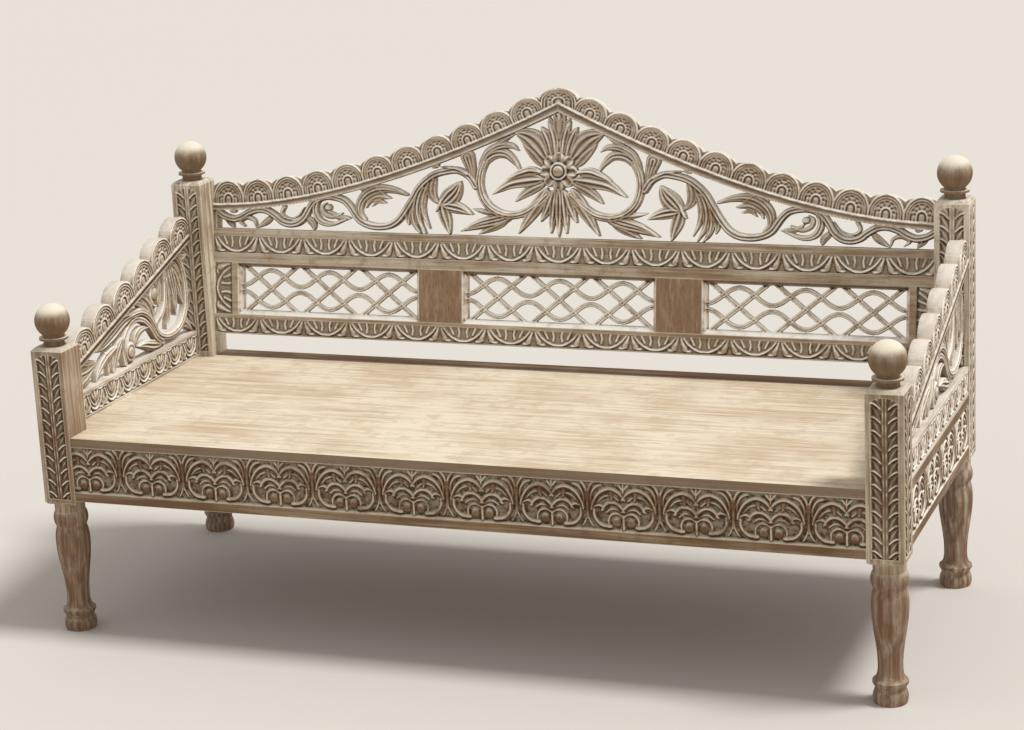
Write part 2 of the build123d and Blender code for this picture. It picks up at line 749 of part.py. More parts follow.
# ---------------------------------------------------------------- lattices
def lattice_wave(middle, sense):
    """Points of a curved bar that swings about a quarter line of the opening."""
    centre = opening_foot + lattice_height * (0.5 + 0.25 * sense)
    step = lattice_period / 8
    count = ceil(lattice_width / 2 / step)
    return [
        (middle + step * place, centre + sense * lattice_swing * cos(2 * pi * place / 8))
        for place in range(-count, count + 1)
    ]


lattice_names = ["back_lattice_left", "back_lattice_middle", "back_lattice_right"]
clear_width = lattice_width - 2 * lattice_border
clear_height = lattice_height - 2 * lattice_border
for name, middle in zip(lattice_names, lattice_middles):
    with BuildPart() as lattice:
        with BuildSketch(back_face):
            with Locations((middle, opening_foot + lattice_height / 2)):
                Rectangle(lattice_width, lattice_height)
        extrude(amount=-panel_thickness)
        with BuildSketch(back_face):
            with Locations((middle, opening_foot + lattice_height / 2)):
                Rectangle(lattice_width - 2 * lattice_rim, lattice_height - 2 * lattice_rim)
        extrude(amount=-lattice_setback, taper=45, mode=Mode.SUBTRACT)
        with BuildSketch(back_face):
            with Locations((middle, opening_foot + lattice_height / 2)):
                Rectangle(clear_width, clear_height)
        extrude(amount=-panel_thickness, mode=Mode.SUBTRACT)
        with BuildSketch(back_face.offset(-lattice_setback)):
            half_period = lattice_period / 2
            reach = lattice_height / 2
            cross_count = ceil(lattice_width / lattice_period)
            for cross in range(-cross_count, cross_count + 1):
                x = middle + lattice_period * cross
                for lean in (-1, 1):
                    with BuildLine():
                        Line(
                            (x - lean * half_period, opening_foot),
                            (x + lean * half_period, opening_foot + 2 * reach),
                        )
                    trace(line_width=lattice_bar)
            stroke(lattice_wave(middle, 1), lattice_bar)
            stroke(lattice_wave(middle, -1), lattice_bar)
            with Locations((middle, opening_foot + lattice_height / 2)):
                Rectangle(clear_width + 2 * bar_bury, clear_height + 2 * bar_bury, mode=Mode.INTERSECT)
        extrude(amount=-lattice_thickness)
    save(lattice, name)


# ---------------------------------------------------------------- crest
crest_end = crest_foot + crest_end_rise
crest_apex = crest_foot + crest_apex_rise


def crest_curve(side, below_end, below_apex):
    """Top line of the crest moulding on one side, or a line that lies below it."""
    return Bezier(
        (side * half_span, crest_end - below_end),
        (side * half_span * crest_shoulder, crest_end - below_end),
        (0, crest_apex - below_apex),
    )


def crest_notches(side):
    """Notches between the scallops of one half, from the post to the middle."""
    with BuildLine() as top_line:
        crest_curve(side, 0, 0)
    notches = [Vector(side * half_span, crest_end + crest_end_cusp)]
    for number in range(1, int(crest_scallops) + 1):
        share = number / crest_scallops
        foot = top_line.line @ share
        along = top_line.line % share
        outward = Vector(side * along.Y, -side * along.X)
        lift = crest_end_cusp + (crest_apex_cusp - crest_end_cusp) * share
        notches.append(Vector(foot.X, foot.Y) + outward * lift)
    return notches


def crest_headroom(share):
    """Clear height below the crest moulding, at a share of the half length from the middle."""
    ease = 1 - crest_shoulder
    bend = 1 - 2 * crest_shoulder
    along = (ease - sqrt(ease**2 - bend * (1 - share))) / bend
    end_room = crest_end_rise - moulding_height
    apex_room = crest_apex_rise - apex_moulding_height
    return end_room + (apex_room - end_room) * along**2


def crest_point(side, share, lift):
    """A point of the crest: share of the half length, and share of the headroom there."""
    return (side * half_span * share, crest_foot + crest_headroom(share) * lift)


for side_name, side in sides.items():
    with BuildPart() as crest_edge:
        with BuildSketch(back_face):
            with BuildLine():
                notches = crest_notches(side)
                crown = Vector(0, notches[-1].Y + apex_scallop_rise)
                half_chord = abs(notches[-1].X)
                crown_radius = (half_chord**2 + apex_scallop_rise**2) / (2 * apex_scallop_rise)
                for start, end in zip(notches, notches[1:]):
                    SagittaArc(start, end, -side * crest_scallop_rise)
                RadiusArc(notches[-1], crown, -side * crown_radius)
                Line(crown, (0, crest_apex - apex_moulding_height))
                crest_curve(side, moulding_height, apex_moulding_height)
                Line((side * half_span, crest_end - moulding_height), (side * half_span, crest_end))
                Line((side * half_span, crest_end), notches[0])
            make_face()
            with Locations((side * (half_span - crest_post_width / 2), (crest_foot + crest_end) / 2)):
                Rectangle(crest_post_width, crest_end - crest_foot)
        extrude(amount=-panel_thickness)
        with BuildSketch(back_face.offset(moulding_proud)):
            with BuildLine():
                crest_curve(side, 0, 0)
                Line((0, crest_apex), (0, crest_apex - apex_moulding_height))
                crest_curve(side, moulding_height, apex_moulding_height)
                Line((side * half_span, crest_end - moulding_height), (side * half_span, crest_end))
            make_face()
        extrude(amount=-(panel_thickness + moulding_proud))
    save(crest_edge, f"crest_edge_{side_name}")

rosette_middle = (0, crest_foot + rosette_rise)

with BuildSketch() as rosette_outline:
    with Locations(rosette_middle):
        Circle(rosette_radius)
    leaf(rosette_middle, crest_point(1, 0, 1), 17, 17)
    for side in sides.values():
        leaf(rosette_middle, crest_point(side, 0.052, 0.98), 12, 12)
        leaf(rosette_middle, crest_point(side, 0.125, 0.99), 18, 14)
        leaf(rosette_middle, crest_point(side, 0.04, 0.0), 12, 14)
    leaf(rosette_middle, crest_point(1, 0, 0), 14, 14)

with BuildPart() as crest_rosette:
    with BuildSketch(back_face.offset(-fret_setback)):
        add(rosette_outline.sketch)
        with BuildLine():
            Line(crest_point(-1, 1, 0), crest_point(1, 1, 0))
            Line(crest_point(1, 1, 0), crest_point(1, 1, 1))
            crest_curve(1, moulding_height, apex_moulding_height)
            crest_curve(-1, moulding_height, apex_moulding_height)
            Line(crest_point(-1, 1, 1), crest_point(-1, 1, 0))
        make_face(mode=Mode.INTERSECT)
    extrude(amount=-fret_thickness)
save(crest_rosette, "crest_rosette")

# stem of one half, from the post to the middle: share of the half length, share of the headroom
crest_stems = [
    [(1.0, 0.8), (0.95, 0.3), (0.87, 0.85), (0.77, 0.2), (0.65, 0.92)],
    [(0.65, 0.92), (0.59, 0.62), (0.52, 0.07), (0.42, 0.45)],
    [(0.42, 0.45), (0.315, 0.9), (0.235, 0.52), (0.15, 0.18), (0.05, 0.4)],
]
# leaves: root, tip and the bulge of each side
crest_leaves = [
    ((0.03, 0.52), (0.2, 0.42), 12, 24),
    ((0.03, 0.6), (0.15, 0.64), 10, 10),
    ((0.03, 0.44), (0.125, 0.0), 10, 14),
    ((0.13, 0.18), (0.285, 0.03), 12, 14),
    ((0.15, 0.12), (0.22, 0.0), 8, 8),
    ((0.24, 0.55), (0.285, 0.97), 12, 10),
    ((0.24, 0.55), (0.24, 0.9), 8, 8),
    ((0.4, 0.62), (0.33, 0.4), 10, 14),
    ((0.33, 0.42), (0.285, 0.7), 10, 8),
    ((0.33, 0.42), (0.245, 0.26), 12, 10),
    ((0.33, 0.42), (0.305, 0.0), 12, 10),
    ((0.41, 0.62), (0.445, 0.16), 14, 10),
    ((0.4, 0.66), (0.37, 0.0), 18, 12),
    ((0.47, 0.18), (0.57, 0.42), 12, 22),
    ((0.43, 0.4), (0.53, 0.7), 10, 14),
    ((0.61, 0.62), (0.69, 0.3), 24, 16),
    ((0.63, 0.3), (0.69, 0.02), 12, 10),
    ((0.76, 0.2), (0.815, 0.7), 10, 8),
    ((0.9, 0.6), (0.88, 0.1), 12, 10),
]
crest_calyx = (0.33, 0.42)
# places where the stem meets the upper rail or the moulding
crest_seats = [(0.95, 0.0), (0.77, 0.0), (0.65, 1.0), (0.52, 0.0), (0.32, 1.0), (0.14, 0.0), (0.87, 1.0)]

for side_name, side in sides.items():
    with BuildPart() as crest_fret:
        with BuildSketch(back_face.offset(-fret_setback)):
            for stem in crest_stems:
                stroke([crest_point(side, share, lift) for share, lift in stem], vine_width)
            with Locations(crest_point(side, 0.147, 0.54)):
                Circle(loop_radius + vine_width / 2)
                Circle(loop_radius - vine_width / 2, mode=Mode.SUBTRACT)
            for root, tip, bulge_left, bulge_right in crest_leaves:
                leaf(crest_point(side, *root), crest_point(side, *tip), bulge_left, bulge_right)
            with Locations([crest_point(side, *seat) for seat in crest_seats]):
                Circle(vine_width)
            with Locations(crest_point(side, *crest_calyx)):
                Circle(calyx_radius)
            with BuildLine():
                Line(crest_point(side, 0, 0), crest_point(side, 0, 1))
                crest_curve(side, moulding_height, apex_moulding_height)
                Line(crest_point(side, 1, 1), crest_point(side, 1, 0))
                Line(crest_point(side, 1, 0), crest_point(side, 0, 0))
            make_face(mode=Mode.INTERSECT)
            with Locations((side * (half_span - crest_post_width / 2), crest_foot + crest_end_rise / 2)):
                Rectangle(crest_post_width, crest_end_rise, mode=Mode.SUBTRACT)
            add(rosette_outline.sketch, mode=Mode.SUBTRACT)
        extrude(amount=-fret_thickness)
    save(crest_fret, f"crest_fret_{side_name}")
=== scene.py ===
"""The looks of a takht, a carved daybed of limed teak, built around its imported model.

Every carved field is a grid of heights. Ridges, leaves, rings and grooves are cut into it along smooth
lines, and the grid becomes a mesh that lies in the recess of its timber, or stands for a pierced board.
"""

import logging
from collections.abc import Sequence
from dataclasses import dataclass, field
from enum import Enum
from math import atan2, ceil, cos, hypot, pi, radians, sin

import bpy
import numpy as np
from mathutils import Matrix, Vector


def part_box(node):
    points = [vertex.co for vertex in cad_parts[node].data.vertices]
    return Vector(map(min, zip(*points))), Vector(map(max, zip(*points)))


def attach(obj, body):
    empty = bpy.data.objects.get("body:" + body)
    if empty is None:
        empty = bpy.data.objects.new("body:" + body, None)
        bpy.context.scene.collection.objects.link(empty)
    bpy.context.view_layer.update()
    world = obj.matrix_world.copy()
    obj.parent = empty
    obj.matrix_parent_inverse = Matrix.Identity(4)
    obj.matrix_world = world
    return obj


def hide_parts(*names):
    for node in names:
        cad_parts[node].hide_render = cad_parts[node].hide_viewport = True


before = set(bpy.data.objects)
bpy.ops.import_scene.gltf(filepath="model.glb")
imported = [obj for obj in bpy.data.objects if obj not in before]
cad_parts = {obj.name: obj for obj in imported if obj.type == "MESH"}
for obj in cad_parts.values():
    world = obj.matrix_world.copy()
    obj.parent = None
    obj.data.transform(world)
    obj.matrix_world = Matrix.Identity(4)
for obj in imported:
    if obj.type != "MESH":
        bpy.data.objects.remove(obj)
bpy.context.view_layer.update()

log = logging.getLogger("takht")

MM = 0.001
FAR = 1000.0                               # in mm, beyond every grid
BODY = "root"
SIDES = {"left": -1, "right": 1}
RIGHT = Vector((1, 0, 0))
UP = Vector((0, 0, 1))

Point = tuple[float, float]
Path = Sequence[Point]
Grid = np.ndarray
Tone = tuple[int, int, int]
Socket = bpy.types.NodeSocket
Feed = Socket | float | Tone
Material = bpy.types.Material
Thing = bpy.types.Object


def srgb(red: int, green: int, blue: int) -> tuple[float, float, float, float]:
    """Turn a colour of 0 to 255 per channel into the linear values that a shader takes.

    Args:
        red: red channel.
        green: green channel.
        blue: blue channel.

    Returns:
        The linear colour with full alpha.
    """
    linear = [((c / 255 + 0.055) / 1.055) ** 2.4 if c > 10 else c / 255 / 12.92 for c in (red, green, blue)]
    return (*linear, 1.0)


# ------------------------------------------------------------------------------------------ finishes
class Grain(Enum):
    """The way the grain of a timber runs, as the stretch of its pattern along X, Y and Z."""

    ALONG_X = (1.0, 30.0, 30.0)
    ALONG_Y = (30.0, 1.0, 30.0)
    ALONG_Z = (30.0, 30.0, 1.0)


class Shader:
    """A small helper that adds and joins the nodes of one material."""

    def __init__(self, name: str) -> None:
        """Start an empty node material with a Principled surface."""
        self.material = bpy.data.materials.new(name)
        self.material.use_nodes = True
        self.surface = self.material.node_tree.nodes["Principled BSDF"]
        self.place = self.add("TexCoord", "Object", {})

    def feed(self, node: bpy.types.Node, inputs: dict[str | int, Feed]) -> None:
        """Give a node its inputs.

        Args:
            node: the node.
            inputs: a socket, a number or a colour for each input, by its name or number.
        """
        for key, value in inputs.items():
            if isinstance(value, bpy.types.NodeSocket):
                self.material.node_tree.links.new(value, node.inputs[key])
            else:
                node.inputs[key].default_value = srgb(*value) if isinstance(value, tuple) else value

    def add(
        self, kind: str, output: str | int, inputs: dict[str | int, Feed], **settings: object
    ) -> Socket:
        """Add a node, set its own properties and feed it.

        Args:
            kind: the node's Blender type, without its first word.
            output: name or number of the output that is wanted.
            inputs: what goes into the node.
            settings: the node's properties by name.

        Returns:
            The socket of the output.
        """
        made = self.material.node_tree.nodes.new(f"ShaderNode{kind}")
        for key, value in settings.items():
            setattr(made, key, value)
        self.feed(made, inputs)
        return made.outputs[output]

    def noise(self, place: Socket, scale: float, detail: float, rough: float = 0.55) -> Socket:
        """Noise from 0 to 1 of a scale, with so many finer layers of so much strength."""
        inputs = {"Vector": place, "Scale": scale, "Detail": detail, "Roughness": rough}
        return self.add("TexNoise", "Fac", inputs)

    def spread(
        self, value: Socket, low: float, high: float, to_low: float = 0.0, to_high: float = 1.0
    ) -> Socket:
        """Map the range from low to high of a value smoothly onto the range from to_low to to_high."""
        inputs = {"Value": value, "From Min": low, "From Max": high, "To Min": to_low, "To Max": to_high}
        return self.add("MapRange", "Result", inputs, interpolation_type="SMOOTHSTEP")

    def math(self, operation: str, first: Socket, second: Socket | float) -> Socket:
        """Combine two values, with the result held between 0 and 1."""
        return self.add("Math", "Value", {0: first, 1: second}, operation=operation, use_clamp=True)

    def blend(self, share: Socket | float, first: Socket | Tone, second: Socket | Tone) -> Socket:
        """Mix two colours, where the share says how much of the second shows."""
        return self.add("Mix", 2, {0: share, 6: first, 7: second}, data_type="RGBA")

    def upright(self, vector: Socket) -> Socket:
        """Take the Z of a place or a direction."""
        return self.add("SeparateXYZ", "Z", {0: vector})


@dataclass(frozen=True)
class Tones:
    """Colours of limed teak, 0 to 255 per channel."""

    pale: Tone = (214, 200, 176)           # under lime
    brown: Tone = (150, 124, 98)           # where the lime has gone
    dark: Tone = (70, 51, 37)              # in the cuts, partly as painted shade, and in the pores
    chalk: Tone = (150, 144, 126)          # on the ground of a carving
    edge: Tone = (240, 230, 210)           # on rubbed edges, and as a painted highlight on faces and ridges that look up
    shaded: Tone = (112, 86, 61)           # painted shade on faces that do not look up
    bared: Tone = (112, 77, 52)            # at the foot of a leg


@dataclass(frozen=True)
class LimedTeak:
    """Brown teak under a rubbed coat of lime, which stays in the grain and pales every edge."""

    name: str
    grain: Grain
    cover: float = 0.5                     # share of the surface that the lime hides
    carved: bool = False
    tones: Tones = Tones()
    crown: float = 0.0                     # how much paler the faces are that look up: a painted highlight
    painted_shade: float = 0.0                     # how much browner the faces are that do not look up: painted shade, and on the deck's front edge also thinner lime
    bare_foot: float = 0.0                 # height below which the lime has worn off, in metres
    rubbed: float = 1.0                    # how pale the ridges of a carving are, by rubbing and by painted highlight
    roughness: float = 0.75
    gloss: float = 0.25

    def build(self) -> Material:
        """Make the material.

        Returns:
            The finished material.
        """
        shader = Shader(self.name)
        tones = self.tones
        grained = shader.add("Mapping", "Vector", {"Vector": shader.place})
        grained.node.inputs["Scale"].default_value = self.grain.value
        streaks = shader.noise(grained, 3.4, 7.0, 0.64)
        pores = shader.noise(grained, 14.0, 3.0, 0.65)
        stain_and_shade = shader.noise(shader.place, 24.0, 4.0, 0.62)
        drift = shader.spread(shader.noise(shader.place, 4.0, 3.0), 0.3, 0.7, -0.1, 0.1)
        middle = 0.5 + (0.5 - self.cover) * 0.6
        limed = shader.spread(shader.math("ADD", streaks, drift), middle - 0.2, middle + 0.2)
        colour = shader.blend(limed, tones.brown, tones.pale)
        colour = shader.blend(shader.spread(pores, 0.52, 0.74, 0.0, 0.5), colour, tones.dark)
        colour = shader.blend(shader.spread(stain_and_shade, 0.5, 0.68, 0.0, 0.5), colour, tones.brown)
        if self.carved:
            colour = self._age_carving(shader, colour, stain_and_shade)
        else:
            colour = self._pale_edges(shader, colour)
        upward = shader.upright(shader.add("NewGeometry", "Normal", {}))
        # painted highlight: faces that look up are paled
        if self.crown:
            colour = shader.blend(shader.spread(upward, 0.22, 0.7, 0.0, self.crown), colour, tones.edge)
        # painted shade: the downward flanks of a carving are darkened
        if self.carved:
            colour = shader.blend(shader.spread(upward, -0.05, -0.6, 0.0, 0.7), colour, tones.dark)
        # painted shade: faces that do not look up are browned
        if self.painted_shade:
            colour = shader.blend(shader.spread(upward, 0.8, -0.2, 0.0, self.painted_shade), colour, tones.shaded)
        if self.bare_foot:
            low = shader.spread(shader.upright(shader.place), self.bare_foot, self.bare_foot - 0.05)
            bare = shader.math("MULTIPLY", low, shader.spread(streaks, 0.7, 0.35, 0.45, 0.82))
            colour = shader.blend(bare, colour, tones.bared)
        coarse = shader.add("Bump", "Normal", {"Strength": 0.3, "Distance": 1.0 * MM, "Height": streaks})
        fine = {"Strength": 0.35, "Distance": 0.4 * MM, "Height": pores, "Normal": coarse}
        surface = {"Base Color": colour, "Roughness": self.roughness, "Specular IOR Level": self.gloss}
        shader.feed(shader.surface, surface | {"Normal": shader.add("Bump", "Normal", fine)})
        return shader.material

    def _age_carving(self, shader: Shader, colour: Socket, stain_and_shade: Socket) -> Socket:
        """Pale the ridges by rubbing and painted highlight, darken the cuts with dark wood and painted
        shade, and leave chalk on the ground of a carving.

        Args:
            shader: the material being built.
            colour: socket of the plain wood's colour.
            stain_and_shade: socket of the patches where the lime is stained.

        Returns:
            The socket of the aged colour.
        """
        wear_and_light = shader.add("Attribute", "Fac", {}, attribute_name="wear_and_light")
        depth = shader.add("Attribute", "Fac", {}, attribute_name="depth")
        speckle = shader.noise(shader.place, 70.0, 4.0, 0.7)
        colour = shader.blend(0.45, colour, self.tones.brown)
        # dark cuts and downward slopes: dark wood with painted shade
        colour = shader.blend(shader.spread(wear_and_light, 0.5, 0.16, 0.0, 0.95), colour, self.tones.dark)
        ground = shader.spread(depth, 0.55, 0.85)
        residue = shader.math("MULTIPLY", ground, shader.spread(speckle, 0.4, 0.6))
        colour = shader.blend(shader.math("MULTIPLY", residue, 0.8), colour, self.tones.chalk)
        patchy = shader.spread(speckle, 0.2, 0.5, 0.6, 1.0)
        # pale ridges and upward slopes: rubbed lime with painted highlight
        ridge = shader.math("MULTIPLY", shader.spread(wear_and_light, 0.58, 0.84), patchy)
        stained = shader.spread(stain_and_shade, 0.66, 0.48, 0.3 * self.rubbed, self.rubbed)
        return shader.blend(shader.math("MULTIPLY", ridge, stained), colour, self.tones.edge)

    def _pale_edges(self, shader: Shader, colour: Socket) -> Socket:
        """Rub the edges of a plain timber pale.

        Args:
            shader: the material being built.
            colour: socket of the plain wood's colour.

        Returns:
            The socket of the colour with pale edges.
        """
        rounded = shader.add("Bevel", "Normal", {"Radius": 2.5 * MM}, samples=4)
        flat = shader.add("NewGeometry", "Normal", {})
        turn = shader.add("VectorMath", "Value", {0: rounded, 1: flat}, operation="DOT_PRODUCT")
        return shader.blend(shader.spread(turn, 0.995, 0.9, 0.0, 0.8), colour, self.tones.edge)


@dataclass(frozen=True)
class Steel:
    """Plain screw steel, slightly dulled."""

    name: str
    clean: Tone = (150, 150, 148)
    dull: Tone = (118, 112, 104)
    roughness: float = 0.45

    def build(self) -> Material:
        """Make the material."""
        shader = Shader(self.name)
        dulled = shader.spread(shader.noise(shader.place, 260.0, 3.0), 0.3, 0.7)
        colour = shader.blend(dulled, self.clean, self.dull)
        shader.feed(shader.surface, {"Base Color": colour, "Metallic": 1.0, "Roughness": self.roughness})
        return shader.material


class Finishes:
    """The materials of the daybed."""

    def __init__(self) -> None:
        """Build each material."""
        bare = Tones((170, 144, 114), (112, 80, 53), (58, 40, 27), (150, 143, 124), (232, 217, 192))
        rubbed = Tones((212, 194, 166), (124, 93, 66), (56, 39, 27), (132, 120, 98), (252, 244, 228))
        limed = Tones((234, 224, 206), (160, 135, 107), (64, 46, 33), (160, 149, 129), (255, 250, 240))
        planed = Tones((234, 220, 196), (200, 176, 146))
        front = Tones((174, 152, 124), (118, 90, 64))
        plain = Tones((184, 161, 134), (148, 121, 95))
        sawn = Tones((190, 160, 124))
        along_x, along_y, along_z = Grain
        # Faces that look up are paled as a painted highlight, and faces that do not look up are browned as
        # painted shade, as on the finials' tops and undersides.
        self.posts = LimedTeak("limed_post", along_z, 0.46, crown=0.5, painted_shade=0.14, bare_foot=0.31).build()
        self.finials = LimedTeak("limed_finial", along_z, 0.42, crown=0.9, painted_shade=0.85).build()
        self.back_posts = LimedTeak("limed_back_post", along_z, 0.56, tones=limed, bare_foot=0.31).build()
        self.muntins = LimedTeak("limed_muntin", along_z, 0.42, tones=plain).build()
        # the front rail's darker tones are painted shade together with thinner lime
        self.front_rail = LimedTeak("bare_and_shaded_rail", along_x, 0.4, tones=front).build()
        self.side_rails = LimedTeak("bare_side", along_y, 0.4, tones=front).build()
        self.panel = LimedTeak("limed_panel", along_x, 0.5, tones=limed, painted_shade=0.3).build()
        self.deck = LimedTeak("limed_deck", along_x, 0.6, tones=planed, painted_shade=0.9).build()
        self.bands = LimedTeak("limed_band", along_y, 0.56, tones=limed, crown=0.3).build()
        self.apron = LimedTeak("carved_apron", along_x, 0.36, True, bare, crown=0.5, rubbed=0.75).build()
        self.side_apron = LimedTeak("carved_side", along_y, 0.5, True, rubbed, crown=0.4).build()
        self.side_fret = LimedTeak("carved_side_fret", along_y, 0.6, True, limed, crown=0.4).build()
        self.column = LimedTeak("carved_post", along_z, 0.4, True, rubbed, crown=0.4).build()
        self.back_column = LimedTeak("carved_back_post", along_z, 0.6, True, limed, crown=0.5).build()
        self.back = LimedTeak("carved_back", along_x, 0.6, True, limed, crown=0.5).build()
        self.hidden = LimedTeak("sawn_teak", along_y, 0.08, tones=sawn).build()
        self.steel = Steel("screw_steel").build()


# ------------------------------------------------------------------------------------------ carving
class Swell(Enum):
    """How the width of a stroke changes from its start to its end."""

    EVEN = "even"
    LEAF = "leaf"
    TAIL = "tail"
    HEAD = "head"
    SPINDLE = "spindle"

    def widths(self, share: Grid) -> Grid:
        """Width at each share of the length, where the widest place is 1.

        Args:
            share: places along the stroke, 0 to 1.

        Returns:
            The width at each place.
        """
        if self is Swell.LEAF:
            return np.sin(pi * np.clip(share, 0.02, 0.99) ** 0.75) ** 0.8
        if self is Swell.TAIL:
            return 1.0 - 0.8 * share**1.3
        if self is Swell.HEAD:
            return 0.35 + 0.65 * share
        if self is Swell.SPINDLE:
            return 0.3 + 0.7 * np.sin(pi * share)
        return np.ones_like(share)


EVEN, LEAF, TAIL, HEAD, SPINDLE = Swell
RIM_WEAR = 0.6                             # wear of the edges of a pierced board
SHARP = radians(62)                        # angle from which a fold of a mesh looks sharp
LEAST = 0.45                               # least half width of a stroke, in mm
STEPS = 7                                  # short runs between two points of a smooth line


def smooth_path(points: Path) -> Grid:
    """Follow a smooth line through the points.

    Args:
        points: the points that the line passes through.

    Returns:
        The places along the line, one per row.
    """
    given = np.array(points, float)
    if len(given) == 2:
        return np.linspace(given[0], given[1], STEPS + 1)
    held = np.vstack([2 * given[0] - given[1], given, 2 * given[-1] - given[-2]])
    t = np.linspace(0, 1, STEPS, endpoint=False)[:, None]
    runs = [
        0.5 * (2 * b + (c - a) * t + (2 * a - 5 * b + 4 * c - d) * t**2 + (3 * b - a - 3 * c + d) * t**3)
        for a, b, c, d in zip(held, held[1:], held[2:], held[3:])
    ]
    return np.vstack([*runs, given[-1:]])


def bump(distance: Grid, middle: float | Grid, half: float, top: float, floor: float) -> Grid:
    """Height of a rounded ring.

    Args:
        distance: distance of each place from the centre.
        middle: radius of the ring's crest.
        half: half width of the ring.
        top: height of the crest.
        floor: height beside the ring.

    Returns:
        The height at each place.
    """
    off = np.clip(np.abs(distance - middle) / half, 0, 1)
    return floor + (top - floor) * np.sqrt(1 - off**2)


def sweep(half: float, rise: float) -> float:
    """Radius of the arc with this half width and this rise."""
    return (half**2 + rise**2) / (2 * rise)


def height_along(line: Grid, away: Grid) -> Grid:
    """Height of a line that runs inwards, at each distance from the middle."""
    return np.interp(away, line[::-1, 0], line[::-1, 1])


def arc(centre: Point, radius: float, start: float, end: float) -> list[Point]:
    """Points of a round arc.

    Args:
        centre: middle of the arc.
        radius: its radius.
        start: first angle in degrees, from the across direction.
        end: last angle in degrees.

    Returns:
        The points, about one for every 15 degrees.
    """
    count = max(3, ceil(abs(end - start) / 15) + 1)
    turns = np.radians(np.linspace(start, end, count))
    return [(centre[0] + radius * cos(a), centre[1] + radius * sin(a)) for a in turns]


def blurred(values: Grid, reach: int, times: int) -> Grid:
    """Average each place with its neighbours.

    Args:
        values: the values over the grid.
        reach: how many cells to each side count.
        times: how many times to repeat it.

    Returns:
        The averaged values.
    """
    span = 2 * reach + 1
    for _ in range(times):
        for axis in (0, 1):
            edges = [(reach + 1, reach) if k == axis else (0, 0) for k in (0, 1)]
            total = np.cumsum(np.pad(values, edges, mode="edge"), axis=axis)
            ahead = np.take(total, range(span, total.shape[axis]), axis=axis)
            behind = np.take(total, range(total.shape[axis] - span), axis=axis)
            values = (ahead - behind) / span
    return values


